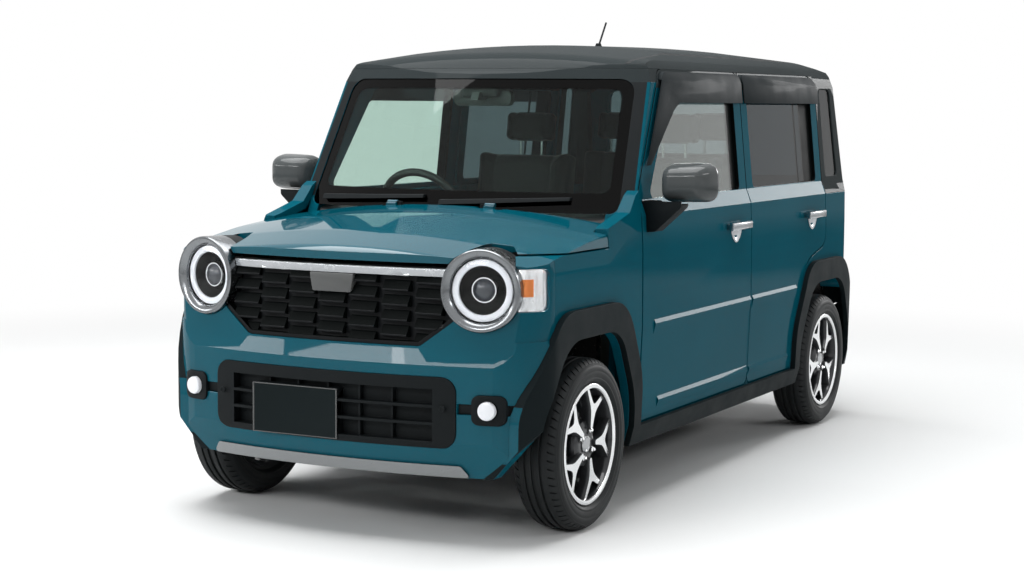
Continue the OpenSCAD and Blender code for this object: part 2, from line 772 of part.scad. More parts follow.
// Staggered louvre blades, each proud at its lower edge
module louvres(back) {
    room = [820, grille_top_z - 36 - grille_bottom_z];
    pitch = [room.x / louvre_columns, room.y / (louvre_rows + 0.5)];
    intersection() {
        along(front_y - 40, front_y + 300) grille_outline(-13);
        union() for (c = [0 : louvre_columns - 1], r = [0 : louvre_rows])
            let (x = -room.x / 2 + (c + 0.5) * pitch.x, z = grille_bottom_z + (r + (c % 2) / 2) * pitch.y,
                y = face_y + front_r - sqrt(front_r * front_r - x * x) + 16 + (z - ledge_z) * 20 / (bumper_top_z - ledge_z))
            translate([x - pitch.x * 0.42, y, z]) rotate([90, 0, 90]) linear_extrude(pitch.x * 0.84)
                polygon([[back + 2, 0], [6, 4], [6, 9], [back - 6, pitch.y * 0.78], [back + 2, pitch.y * 0.78]]);
    }
}
module grilles() {
    front_grille();
    lower_grille();
}
module fixed_glass() {
    windscreen();
    quarter_glass();
}
module seats() {
    front_seats();
    rear_seat();
}
module lower_grille() {
    back = 34;
    post = 78;
    color("black") union() {
        intersection() {
            along(front_y - 40, front_y + 300) intake_outline(-seat_gap);
            difference() {
                front_face(back);
                front_face(back + 10);
            }
        }
        intersection() {
            along(front_y - 40, front_y + 300) {
                difference() {
                    intake_outline(-seat_gap);
                    translate([intake_lo.x + post, intake_lo.y + 22]) square([2 * intake_hi.x - 2 * post, 168]);
                }
                for (r = [1, 2]) translate([-intake_hi.x + post - 1, intake_lo.y + 18 + r * 56])
                    square([2 * (intake_hi.x - post) + 2, 9]);
            }
            difference() {
                front_face(-4);
                front_face(back + 1);
            }
        }
        intersection() {
            along(front_y - 40, front_y + 300)
                for (c = [-2 : 2]) translate([c * 118 - 4, intake_lo.y + 10]) square([8, 190]);
            difference() {
                front_face(14);
                front_face(back + 1);
            }
        }
        plate_carrier();
    }
}
// A flat carrier for the number plate, with a hole for each of its two bolts
plate_x = -118;
plate_z = 410;
plate_bolts = 210;
module plate_carrier() {
    difference() {
        translate([plate_x - 165, front_y, plate_z - 82]) cube([330, 44, 165]);
        for (s = [-1, 1]) translate([plate_x + s * plate_bolts / 2, front_y - 1, plate_z + 55]) rotate([-90, 0, 0])
            cylinder(r = 3.5, h = 20);
    }
}
module skid_strip() {
    color("silver") intersection() {
        along(front_y - 40, front_y + 300)
            polygon(rounded([[-500, 226, 8], [500, 226, 8], [470, 266, 14], [-470, 266, 14]]));
        difference() {
            front_corner(-10);
            front_corner(0);
        }
    }
}
module front_lamps() {
    barrel = 130;
    color("silver") both_sides() {
        at_lamp() rotate_extrude() polygon([[0, -barrel], [lamp_r - 12, -barrel], [lamp_r, 12 - barrel], [lamp_r, 14],
            [lamp_r - 5, 20], [lamp_r - 20, 17], [lamp_r - 30, 6], [lamp_r - 30, -6], [lamp_r - 32, -8],
            [lamp_r - 55, -8], [lamp_r - 57, -14], [lamp_r - 57, -36], [42, -44], [38, -26], [26, -17], [0, -13]]);
        difference() {
            intersection() {
                turn_zone(0);
                nose_solid(6);
            }
            nose_solid(panel_t + 8);
            at_lamp() translate([0, 0, -150]) cylinder(r = lamp_r + seat_gap, h = 320);
        }
        fog_bezel();
    }
}
module fog_bezel() {
    difference() {
        intersection() {
            along(front_y - 40, front_y + 300) fog_outline(-seat_gap);
            difference() {
                bumper_solid(-8);
                nose_solid(panel_t + 4);
            }
        }
        translate([fog_x, front_y, fog_z]) rotate([-90, 0, 0]) cylinder(r = 31, h = 80);
    }
    intersection() {
        along(front_y - 40, front_y + 170) difference() {
            fog_channel(-seat_gap);
            fog_outline(-1);
        }
        difference() {
            bumper_solid(9);
            nose_solid(panel_t);
            across(0, half_body + 80) arch(front_axle_y, arch_outer, seat_gap);
        }
    }
}
module front_lamp_lenses() {
    color([0.9, 0.95, 1, 0.4]) both_sides() {
        at_lamp() rotate_extrude() polygon([[0, 13], [lamp_r - 60, 10], [lamp_r - 30.5, 1], [lamp_r - 30.5, -4],
            [lamp_r - 60, 6], [0, 9]]);
        difference() {
            intersection() {
                turn_zone(0);
                nose_solid(-3);
            }
            nose_solid(6);
            at_lamp() translate([0, 0, -150]) cylinder(r = lamp_r + seat_gap, h = 320);
        }
        intersection() {
            translate([fog_x, front_y, fog_z]) rotate([-90, 0, 0]) cylinder(r = 31 - seat_gap, h = 80);
            difference() {
                bumper_solid(4);
                nose_solid(panel_t);
            }
        }
    }
}

// Cladding along the lower edge of each side, over the arches and the sill
clad_out = 22;
module side_cladding() {
    color("black") both_sides() difference() {
        union() {
            intersection() {
                difference() {
                    nose_solid(-clad_out);
                    nose_solid(0);
                }
                across(half_body - 240, half_body + 60) difference() {
                    arch(front_axle_y, arch_outer);
                    translate([front_y, 0]) square([car_length, sill_z]);
                    translate([door_front_y - panel_gap, 0]) square([1000, 1000]);
                }
            }
            intersection() {
                difference() {
                    lower_tail(-clad_out);
                    lower_tail(0);
                }
                across(half_body - 240, half_body + 60) difference() {
                    union() {
                        arch(rear_axle_y, rear_arch_outer);
                        translate([front_axle_y + arch_inner[0], sill_z])
                            square([wheelbase - arch_inner[0] * 2, door_bottom_z - panel_gap - sill_z]);
                    }
                    translate([front_y, 0]) square([car_length, sill_z]);
                }
            }
        }
        across(half_body - 300, half_body + 100) {
            arch(front_axle_y, arch_inner);
            arch(rear_axle_y, rear_arch_inner);
        }
        nose_chamfer();
    }
}

// Rear end
module lower_tail(d) {
    intersection() {
        along(front_y, rear_y + 50) side_section(d);
        tail_plan(d, rear_y);
    }
}
module rear_bumper_solid(d) {
    intersection() {
        lower_tail(d - 4);
        turned_face([[sill_z - 60, 30], [360, 0], [hatch_bottom_z + 30, 0]], rear_y, rear_r, 1, d);
    }
}
module rear_bumper_zone(grow = 0) {
    offset(delta = grow) difference() {
        translate([rear_axle_y + rear_arch_inner[1], sill_z]) square([700, hatch_bottom_z - panel_gap - sill_z]);
        arch(rear_axle_y, rear_arch_inner, 0);
    }
}
module rear_bumper() {
    color("black") difference() {
        intersection() {
            rear_bumper_solid(0);
            across(-half_body - 50, half_body + 50) rear_bumper_zone();
        }
        rear_bumper_solid(40);
        both_sides() across(half_body - 300, half_body + 50) arch(rear_axle_y, rear_arch_outer, 1);
    }
}
lamp_wrap = 60;
module tail_lamp_pair(grow = 0) {
    for (s = [-1, 1]) offset(delta = grow) translate([s * (half_body - 62), 880])
        polygon(rounded(box_corners([-58, -150], [75, 150], 30)));
}
module tail_lamps() {
    color("darkred") intersection() {
        along(tail_y - lamp_wrap, rear_y + 50) tail_lamp_pair();
        difference() {
            cabin_solid(-7);
            cabin_solid(45);
        }
    }
}
module tailgate() {
    color("darkcyan") difference() {
        intersection() {
            cabin_solid(0);
            along(hatch_hinge_y + panel_gap, rear_y + 50) tailgate_outline();
        }
        cabin_solid(panel_t + 10);
        along(hatch_hinge_y - 50, rear_y + 50) tailgate_window();
        both_sides() translate([hatch_hinge_x - 50, hatch_hinge.x - 60, hatch_hinge.y - 60]) cube([100, 76, 200]);
    }
    color("darkcyan") hinge_eye(hatch_hinge_x, hatch_hinge.x, hatch_hinge.y, hatch_hinge - [0, 26],
        hatch_hinge + [30, -7]);
}
module tailgate_glass() {
    color([0.3, 0.35, 0.35, 0.5]) intersection() {
        difference() {
            cabin_solid(6);
            cabin_solid(6 + glass_t);
        }
        along(hatch_hinge_y + 60, rear_y + 50) tailgate_window(-seat_gap);
    }
}
module quarter_glass() {
    color([0.3, 0.35, 0.35, 0.5]) intersection() {
        difference() {
            cabin_solid(6);
            cabin_solid(6 + glass_t);
        }
        across(-half_body - 50, half_body + 50) quarter_window(-seat_gap);
    }
}

// Floor, bulkhead and wheel housings in one pressed pan
floor_z = 330;
floor_t = 40;
housing_x = half_body - 262;
module floor_pan() {
    edge = half_body - 110;
    post = half_body - 126;
    front = door_front_y - 120;
    color("dimgray") difference() {
        union() {
            translate([-edge, front + 100, floor_z]) cube([2 * edge, tail_y - 78 - front - 100, floor_t]);
            translate([-post, front, floor_z]) cube([2 * post, 140, floor_t]);
            translate([-post, front, floor_z]) cube([2 * post, 40, cowl_z - 90 - floor_z]);
            for (s = [-1, 1]) {
                translate([s * 330 - 35, front_y + 130, 400]) cube([70, front - front_y - 100, 110]);
                translate([s * 430 - 30, front, floor_z - 60]) cube([60, rear_axle_y - front - 520, 61]);
                on_side(s) intersection() {
                    translate([housing_x - 30, rear_axle_y - 360, floor_z]) cube([half_body, 800, 700]);
                    across(0, half_body) arch(rear_axle_y, rear_arch_inner, 24);
                    along(front_y, rear_y) offset(delta = -seat_gap) cabin_section();
                }
                strut_tower(s);
            }
            translate([-365, front_y + 100, 400]) cube([730, 50, 110]);
        }
        both_sides() across(housing_x, half_body) arch(rear_axle_y, rear_arch_inner);
    }
}
// Steering axis: from the lower ball joint to the strut's top bearing
ball = [600, 200];
strut_top = [497, 905];
steer_lean = atan2(ball.x - strut_top.x, strut_top.y - ball.y);
module strut_tower(s) {
    cap_z = strut_top.y + panel_gap;
    on_side(s) {
        translate([300, front_axle_y - 80, cap_z]) cube([strut_top.x - 230, 160, 24]);
        translate([300, front_axle_y - 80, 509]) cube([60, 160, cap_z - 508]);
    }
}

// Running gear
module front_subframe() {
    color("black") {
        translate([-300, front_axle_y - 60, 230]) cube([600, 260, 70]);
        for (s = [-1, 1]) on_side(s) {
            translate([280, front_axle_y - 18, 198]) cube([ball.x - 284, 36, 32]);
            translate([ball.x, front_axle_y, 190]) cylinder(r = 11, h = 40);
        }
        for (s = [-1, 1]) translate([s * 330 - 30, front_axle_y - 40, 232]) cube([60, 80, 168 - seat_gap]);
    }
}
module engine() {
    half = 295 - seat_gap;
    color("gray") translate([-half, front_axle_y - 250, 330]) difference() {
        cube([2 * half, 420, 480]);
        translate([60, -1, 330]) cube([2 * half - 120, 120, 160]);
    }
}
module rear_axle() {
    color("black") {
        for (s = [-1, 1]) on_side(s) {
            translate([430, rear_axle_y - 470, wheel_z - 30]) cube([56, 500, 60]);
            translate([430, rear_axle_y, wheel_z]) rotate([0, 90, 0]) cylinder(r = 34, h = 100);
            translate([529, rear_axle_y, wheel_z]) rotate([0, 90, 0]) cylinder(r = axle_r, h = wheel_x - 529 + 40);
            translate([400, rear_axle_y - 470, wheel_z]) rotate([0, 90, 0]) cylinder(r = 36, h = 116);
            translate([380, rear_axle_y + 20, wheel_z - 30]) cube([110, 130, 20]);
            translate([424, rear_axle_y + 95, wheel_z - 11]) cylinder(r = 40, h = floor_z - wheel_z + 11 - seat_gap);
        }
        translate([-440, rear_axle_y - 130, wheel_z - 34]) cube([880, 90, 50]);
    }
}
module fuel_tank() {
    color("black") translate([0, rear_axle_y - 510, 180]) linear_extrude(floor_z - 180 - seat_gap)
        polygon(rounded(box_corners([-320, -270], [320, 270], 60)));
}
module exhaust() {
    color("silver") {
        translate([-140, rear_axle_y + 210, 245]) rotate([0, 90, 0])
            linear_extrude(480) polygon(rounded(box_corners([-55, -90], [55, 90], 50)));
        translate([20, rear_axle_y + 190, 290]) cube([160, 40, floor_z - 290 - seat_gap]);
        translate([240, rear_axle_y + 290, 240]) rotate([-90, 0, 0]) cylinder(r = 24, h = rear_y - rear_axle_y - 384);
    }
}
module knuckle(s) {
    color("dimgray") on_side(s) {
        translate([ball.x - 60, front_axle_y, wheel_z]) rotate([0, 90, 0])
            cylinder(r = axle_r, h = wheel_x - ball.x + 100);
        translate([ball.x - 62, front_axle_y, wheel_z]) rotate([0, 90, 0]) cylinder(r = 46, h = 34);
        translate([ball.x - 62, front_axle_y - 26, ball.y + 36]) cube([34, 52, 220]);
        translate([ball.x - 62, front_axle_y - 20, ball.y + 36]) cube([62, 40, 20]);
        translate([strut_top.x + 20, front_axle_y, wheel_z + 130]) rotate([0, -2, 0])
            cylinder(r = 24, h = 340);
        translate([strut_top.x + 4, front_axle_y - 20, wheel_z + 125]) cube([60, 40, 40]);
        translate([strut_top.x, front_axle_y, 640]) cylinder(r = 58, h = strut_top.y - 640);
    }
}

// Wheels, modelled about their own axle and placed at each corner
module tyre() {
    r = tyre_d / 2;
    w = tyre_w / 2;
    bead = rim_d / 2 - 14;
    color([0.1, 0.1, 0.1]) rotate([0, 90, 0]) rotate_extrude($fn = 96)
        polygon([[bead, -w + 14], [r - 42, -w], [r - 12, -w + 13], [r, -w + 46], [r, w - 46], [r - 12, w - 13],
            [r - 42, w], [rim_d / 2 + 14, w - 2], [rim_d / 2 - 1, rim_w / 2 - 2.6], [bead, rim_w / 2 - 4.6]]);
}
module wheel() {
    r = rim_d / 2;
    w = rim_w / 2;
    bead = r - 14.3;
    hub_face = w - 30;
    color("silver") rotate([0, 90, 0]) {
        difference() {
            union() {
                rotate_extrude($fn = 96) polygon([[bead - 6, -w], [bead, -w], [bead, w - 4], [r - 3, w - 2], [r - 3, w + 4],
                    [r - 14, w + 5], [r - 22, w - 4], [r - 30, w - 26], [bead - 26, -w + 40], [bead - 14, -w]]);
                translate([0, 0, hub_face - 64]) cylinder(r = 74, h = 78);
                translate([0, 0, hub_face - 64]) cylinder(r = 122, h = 14);
                for (i = [0 : spoke_count - 1]) rotate([0, 0, 360 / spoke_count * i]) spoke(r, hub_face);
            }
            translate([0, 0, -w]) cylinder(r = axle_r + axle_clearance, h = w + 42);
            for (i = [0 : 3]) rotate([0, 0, 45 + 90 * i]) translate([nut_pcd / 2, 0, hub_face + 2]) cylinder(r = 13, h = 60);
        }
        for (i = [0 : 3]) rotate([0, 0, 45 + 90 * i]) translate([nut_pcd / 2, 0, hub_face + 1])
            cylinder(r = 10, h = 20, $fn = 6);
    }
}
module spoke(r, hub_face) {
    fork = 0.60 * r;
    intersection() {
        translate([0, 0, hub_face - 24]) linear_extrude(60) {
            polygon([[40, -20], [fork, -17], [fork, 17], [40, 20]]);
            for (s = [-1, 1]) polygon([[fork - 26, s * 2], [r - 20, s * 42], [r - 20, s * 64], [fork - 16, s * 17]]);
        }
        cylinder(r = r - 18, h = 400, center = true);
        translate([0, 0, hub_face - 870]) sphere(r = 900, $fn = 200);
    }
}
module place_wheel(s, axle_y) {
    translate([s * wheel_x, axle_y, wheel_z]) on_side(s) children();
}

// Cabin
module dashboard() {
    color([0.15, 0.15, 0.15]) difference() {
        across(-half_body + 118 + seat_gap, half_body - 118 - seat_gap)
            polygon(rounded([[door_front_y - 70, 700, 20], [door_front_y + 60, 640, 30],
                [door_front_y + 170, 760, 60], [door_front_y + 190, 1000, 50], [door_front_y + 120, 1060, 50],
                [door_front_y - 70, 1020, 20]]));
        at_column() translate([0, 0, -column_l - 2]) cylinder(r = column_r + axle_clearance, h = column_l);
    }
}
column_r = 16;
column_l = 120;
module at_column() {
    translate([-driver_x, door_front_y + 260, 1000]) rotate([-65, 0, 0]) children();
}
module steering_wheel() {
    color([0.12, 0.12, 0.12]) at_column() {
        rotate_extrude($fn = 72) translate([steering_d / 2 - 15, 0]) circle(r = 15);
        translate([0, 0, -20]) cylinder(r = 70, h = 36);
        for (a = [-25, 205, 90]) rotate([0, 0, a]) translate([50, -16, -12]) cube([steering_d / 2 - 60, 32, 14]);
        translate([0, 0, -column_l]) cylinder(r = column_r, h = column_l);
    }
}
// Side view of a seat's cushion and back, from the middle of the cushion's top
seat_corners = [[-250, -130, 40], [200, -160, 30], [290, 360, 60], [320, 560, 30], [240, 570, 40], [150, 10, 40],
    [-240, 20, 50]];
module seat(w, base_w, rest_w, rests) {
    rotate([90, 0, 90]) translate([0, 0, -w / 2]) linear_extrude(w) polygon(rounded(seat_corners));
    for (x = rests) {
        translate([x - rest_w / 2, 245, 590]) cube([rest_w, 85, 140]);
        translate([x - 50, 275, 550]) cube([100, 26, 60]);
    }
    translate([-base_w / 2, -200, floor_z + floor_t + seat_gap - cushion_z])
        cube([base_w, 370, cushion_z - floor_z - floor_t - 100]);
}
module front_seats() {
    color([0.2, 0.2, 0.2]) for (s = [-1, 1]) translate([s * driver_x, pillar_y - 190, cushion_z])
        seat(seat_w, seat_w - 80, 250, [0]);
}
module rear_seat() {
    color([0.2, 0.2, 0.2]) translate([0, door_rear_y - 420, cushion_z])
        seat(2 * housing_x - 80, 2 * housing_x - 140, 230, [-230, 230]);
}
module interior_mirror() {
    z = roof_z - 215;
    y = screen_top.x + 62;
    color([0.15, 0.15, 0.15]) {
        translate([-120, y, z - 31]) rotate([90, 0, 0]) linear_extrude(30)
            polygon(rounded(box_corners([0, 0], [240, 62], 24)));
        intersection() {
            translate([-16, y - 200, z - 10]) cube([32, 190, 30]);
            bowed(screen_base, screen_r, screen_lean, -1, 4 + glass_t + seat_gap);
        }
    }
}
// Columns: pivot x, tip x, height at the pivot, height at the tip
wiper_arms = [[-20, 470, cowl_z, cowl_z + 24], [-570, -90, cowl_z + 2, cowl_z + 22]];
module wipers() {
    color("black") for (w = wiper_arms) intersection() {
        difference() {
            bowed(screen_base, screen_r, screen_lean, -1, -14);
            bowed(screen_base, screen_r, screen_lean, -1, 3);
        }
        along(front_axle_y, screen_top.x + 250)
            polygon([[w[0], w[2]], [w[1], w[3]], [w[1], w[3] + 12], [w[0], w[2] + 18]]);
    }
}
module aerial() {
    color("black") difference() {
        translate([0, rear_axle_y - 880, roof_z - 12]) {
            cylinder(r1 = 20, r2 = 10, h = 28);
            translate([0, 0, 14]) rotate([-36, 0, 0]) cylinder(r = 4, h = 126);
        }
        crowned(roof_line, roof_z, roof_crown_r, 0);
    }
}

floor_pan();
body_sides();
roof_panel();
front_wings();
front_bumper();
cowl();
grilles();
skid_strip();
front_lamps();
front_lamp_lenses();
fixed_glass();
side_cladding();
rear_bumper();
tail_lamps();
dashboard();
seats();
interior_mirror();
aerial();
engine();
front_subframe();
rear_axle();
fuel_tank();
exhaust();
bonnet();
door(1, "front");  // front_door_left
door(-1, "front");  // front_door_right
door(1, "rear");  // rear_door_left
door(-1, "rear");  // rear_door_right
door_glass(1, "front");  // front_glass_left
door_glass(-1, "front");  // front_glass_right
door_glass(1, "rear");  // rear_glass_left
door_glass(-1, "rear");  // rear_glass_right
door_trim(1, "front");  // front_trim_left
door_trim(-1, "front");  // front_trim_right
door_trim(1, "rear");  // rear_trim_left
door_trim(-1, "rear");  // rear_trim_right
tailgate();
tailgate_glass();
steering_wheel();
knuckle(1);  // knuckle_left
knuckle(-1);  // knuckle_right
place_wheel(1, front_axle_y) tyre();  // tyre_front_left
place_wheel(-1, front_axle_y) tyre();  // tyre_front_right
place_wheel(1, rear_axle_y) tyre();  // tyre_rear_left
place_wheel(-1, rear_axle_y) tyre();  // tyre_rear_right
place_wheel(1, front_axle_y) wheel();  // wheel_front_left
place_wheel(-1, front_axle_y) wheel();  // wheel_front_right
place_wheel(1, rear_axle_y) wheel();  // wheel_rear_left
place_wheel(-1, rear_axle_y) wheel();  // wheel_rear_right
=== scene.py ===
import bpy
import bmesh
import json
import math
from mathutils import Matrix, Vector


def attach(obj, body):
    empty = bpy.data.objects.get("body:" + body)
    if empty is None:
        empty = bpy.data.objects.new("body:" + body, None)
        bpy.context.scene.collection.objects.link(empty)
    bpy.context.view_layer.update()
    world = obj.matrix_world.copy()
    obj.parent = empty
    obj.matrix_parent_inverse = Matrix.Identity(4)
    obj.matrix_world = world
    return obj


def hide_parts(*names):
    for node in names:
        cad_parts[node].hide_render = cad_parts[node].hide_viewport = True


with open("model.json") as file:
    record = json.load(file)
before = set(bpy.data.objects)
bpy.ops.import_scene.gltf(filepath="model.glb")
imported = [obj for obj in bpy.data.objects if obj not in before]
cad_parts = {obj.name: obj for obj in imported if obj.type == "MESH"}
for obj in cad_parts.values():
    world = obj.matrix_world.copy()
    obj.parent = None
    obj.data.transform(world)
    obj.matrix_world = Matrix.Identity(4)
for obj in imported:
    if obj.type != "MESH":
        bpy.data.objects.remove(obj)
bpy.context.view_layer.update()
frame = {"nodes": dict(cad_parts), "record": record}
scene = bpy.context.scene
nodeBody = {n: b for b, ns in frame["record"]["behaviour"]["bodies"].items() for n in ns}
print("frame loaded:", len(frame["nodes"]), "nodes")


# selection and small modelling helpers
def pickNone():
    if bpy.context.object and bpy.context.object.mode != "OBJECT":
        bpy.ops.object.mode_set(mode="OBJECT")
    bpy.ops.object.select_all(action="DESELECT")


def pickOnly(obj):
    pickNone()
    obj.select_set(True)
    bpy.context.view_layer.objects.active = obj


def applyAll(obj):
    pickOnly(obj)
    for m in list(obj.modifiers):
        bpy.ops.object.modifier_apply(modifier=m.name)


def settle(obj):  # place goes into the mesh, object back to the origin
    pickOnly(obj)
    bpy.ops.object.transform_apply(location=True, rotation=True, scale=True)


def smooth(obj, angle=32):
    pickOnly(obj)
    bpy.ops.object.shade_smooth_by_angle(angle=math.radians(angle))


def evenNormals(obj):  # broad faces lead, so that flat panels shade evenly
    m = obj.modifiers.new("normals", "WEIGHTED_NORMAL")
    m.keep_sharp = True
    applyAll(obj)


def roundEdges(obj, width, segments=2, angle=32):
    m = obj.modifiers.new("edges", "BEVEL")
    m.width, m.segments, m.limit_method = width, segments, "ANGLE"
    m.angle_limit, m.use_clamp_overlap, m.harden_normals = math.radians(angle), False, False
    applyAll(obj)


def dress(obj, *finishes):
    obj.data.materials.clear()
    for f in finishes:
        obj.data.materials.append(f)
    for p in obj.data.polygons:
        p.material_index = 0


def finishBy(obj, index, test):  # faces whose centre and normal pass the test take that slot
    for p in obj.data.polygons:
        if test(p.center, p.normal):
            p.material_index = index


def openEdit(obj):  # edit mode with the whole mesh selected
    pickOnly(obj)
    bpy.ops.object.mode_set(mode="EDIT")
    bpy.ops.mesh.select_all(action="SELECT")


def closeEdit():
    bpy.ops.object.mode_set(mode="OBJECT")


def sliceAt(obj, place, normal):  # a cut through the shell, where a finish changes
    openEdit(obj)
    bpy.ops.mesh.bisect(plane_co=place, plane_no=normal, use_fill=False, clear_inner=False, clear_outer=False)
    closeEdit()


def levels(*heights):  # level cuts, for sliceAt
    return [((0, 0, z), (0, 0, 1)) for z in heights]


def joined(name, pieces):
    pickNone()
    for p in pieces:
        p.select_set(True)
    bpy.context.view_layer.objects.active = pieces[0]
    if len(pieces) > 1:
        bpy.ops.object.join()
    pieces[0].name = pieces[0].data.name = name
    return pieces[0]


shellSpec = {"weld": 0.00012, "flatAngle": 0.4, "edge": 0.0014}


def shellOf(name, nodes):  # the solid's own shape, welded and free of flat edges
    copies = []
    for n in nodes:
        twin = bpy.data.objects.new(name, frame["nodes"][n].data.copy())
        scene.collection.objects.link(twin)
        copies.append(twin)
    obj = joined(name, copies)
    pickOnly(obj)
    if obj.data.has_custom_normals:
        bpy.ops.mesh.customdata_custom_splitnormals_clear()
    openEdit(obj)
    bpy.ops.mesh.remove_doubles(threshold=shellSpec["weld"])
    bpy.ops.mesh.dissolve_limited(angle_limit=math.radians(shellSpec["flatAngle"]))
    closeEdit()
    return obj


def skinFrom(name, nodes, finishes, edge=shellSpec["edge"], cuts=(), parts=(), crease=38):
    obj = shellOf(name, nodes)
    if edge:
        roundEdges(obj, edge)
    for place, normal in cuts:
        sliceAt(obj, place, normal)
    dress(obj, *finishes)
    for index, test in parts:
        finishBy(obj, index, test)
    smooth(obj, crease)
    evenNormals(obj)
    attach(obj, nodeBody[nodes[0]])
    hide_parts(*nodes)
    return obj


# camera
photoCam = {"azimuth": 27.327, "elevation": 5.554, "roll": 0.425, "place": (3.377, -6.907, 1.425),
            "focal": 1913.5 / 1024 * 36}


def setCamera(spec):
    a, e, r = (math.radians(spec[k]) for k in ("azimuth", "elevation", "roll"))
    back = Vector((math.sin(a) * math.cos(e), -math.cos(a) * math.cos(e), math.sin(e)))
    right = Vector((math.cos(a), math.sin(a), 0))
    up = back.cross(right)
    across = right * math.cos(r) + up * math.sin(r)
    upward = up * math.cos(r) - right * math.sin(r)
    turn = Matrix((across, upward, back)).transposed().to_4x4()
    data = bpy.data.cameras.new("photoCamera")
    data.sensor_width, data.lens = 36, spec["focal"]
    cam = bpy.data.objects.new("photoCamera", data)
    scene.collection.objects.link(cam)
    cam.matrix_world = Matrix.Translation(spec["place"]) @ turn
    scene.camera = cam


setCamera(photoCam)
scene.view_settings.view_transform = "Standard"
print("camera set")


# node helpers
def addNode(tree, kind, **sockets):
    node = tree.nodes.new(kind)
    for k, v in sockets.items():
        node.inputs[k.replace("_", " ")].default_value = v
    return node


def wire(tree, a, outName, b, inName):
    tree.links.new(a.outputs[outName], b.inputs[inName])


def newGroup(name, inputs, outputs):
    group = bpy.data.node_groups.new(name, "ShaderNodeTree")
    for label, kind, value in inputs:
        s = group.interface.new_socket(name=label, in_out="INPUT", socket_type=kind)
        s.default_value = value
    for label, kind in outputs:
        group.interface.new_socket(name=label, in_out="OUTPUT", socket_type=kind)
    return group, group.nodes.new("NodeGroupInput"), group.nodes.new("NodeGroupOutput")


def onObject(tree, kind, **sockets):  # a node that reads Object coordinates
    node = addNode(tree, kind, **sockets)
    wire(tree, addNode(tree, "ShaderNodeTexCoord"), "Object", node, "Vector")
    return node


def mathNode(tree, op, *values, clamp=False):  # numbers or sockets in, one value out
    n = tree.nodes.new("ShaderNodeMath")
    n.operation, n.use_clamp = op, clamp
    for socket, v in zip(n.inputs, values):
        if isinstance(v, (int, float)):
            socket.default_value = v
        else:
            tree.links.new(v, socket)
    return n.outputs[0]


def rangeNode(tree, value, eased=False, **ends):  # a value taken from one range to another
    n = addNode(tree, "ShaderNodeMapRange", **ends)
    if eased:
        n.interpolation_type = "SMOOTHSTEP"
    tree.links.new(value, n.inputs["Value"])
    return n.outputs["Result"]


def scaledBy(tree, tint, level):  # a colour made lighter or darker
    n = tree.nodes.new("ShaderNodeVectorMath")
    n.operation = "SCALE"
    tree.links.new(tint, n.inputs[0])
    tree.links.new(level, n.inputs["Scale"])
    return n.outputs[0]


def mixColour(tree, factor, a, b, blend="MIX"):
    n = tree.nodes.new("ShaderNodeMix")
    n.data_type, n.blend_type = "RGBA", blend
    for socket, v in ((n.inputs[0], factor), (n.inputs[6], a), (n.inputs[7], b)):
        if isinstance(v, bpy.types.NodeSocket):
            tree.links.new(v, socket)
        else:
            socket.default_value = v
    return n.outputs[2]


colour, number = "NodeSocketColor", "NodeSocketFloat"


def makeFlake():  # metallic flakes under clear lacquer, with a slow drift in tone
    g, gi, go = newGroup("metalFlake", [("Base", colour, (0, 0.1, 0.1, 1)), ("Flake", colour, (0.2, 0.4, 0.4, 1)),
                                        ("Size", number, 2400), ("Amount", number, 0.2)],
                         [("Colour", colour), ("Roughness", number)])
    cells = onObject(g, "ShaderNodeTexVoronoi")
    wire(g, gi, "Size", cells, "Scale")
    pick = addNode(g, "ShaderNodeSeparateColor")
    wire(g, cells, "Color", pick, "Color")
    hot = mathNode(g, "POWER", pick.outputs[0], 4.0)
    amount = mathNode(g, "MULTIPLY", hot, gi.outputs["Amount"])
    drift = onObject(g, "ShaderNodeTexNoise", Scale=1.7, Detail=2.0)
    tone = rangeNode(g, drift.outputs["Fac"], From_Min=0.3, From_Max=0.7, To_Min=0.94, To_Max=1.06)
    base = mixColour(g, amount, gi.outputs["Base"], gi.outputs["Flake"])
    g.links.new(scaledBy(g, base, tone), go.inputs["Colour"])
    g.links.new(rangeNode(g, pick.outputs[1], To_Min=0.30, To_Max=0.42), go.inputs["Roughness"])
    return g


def makeDust():  # road dust, thicker low down
    g, gi, go = newGroup("roadDust", [("Clean", colour, (0, 0, 0, 1)), ("Dust", colour, (0.2, 0.19, 0.17, 1)),
                                      ("Top", number, 0.5), ("Amount", number, 0.1)],
                         [("Colour", colour)])
    height = onObject(g, "ShaderNodeSeparateXYZ").outputs["Z"]
    rise = mathNode(g, "DIVIDE", height, gi.outputs["Top"])
    low = mathNode(g, "SUBTRACT", 1.0, rise, clamp=True)
    spots = onObject(g, "ShaderNodeTexNoise", Scale=34.0, Detail=5.0)
    both = mathNode(g, "MULTIPLY", low, spots.outputs["Fac"])
    mask = mathNode(g, "MULTIPLY", both, gi.outputs["Amount"])
    g.links.new(mixColour(g, mask, gi.outputs["Clean"], gi.outputs["Dust"]), go.inputs["Colour"])
    return g


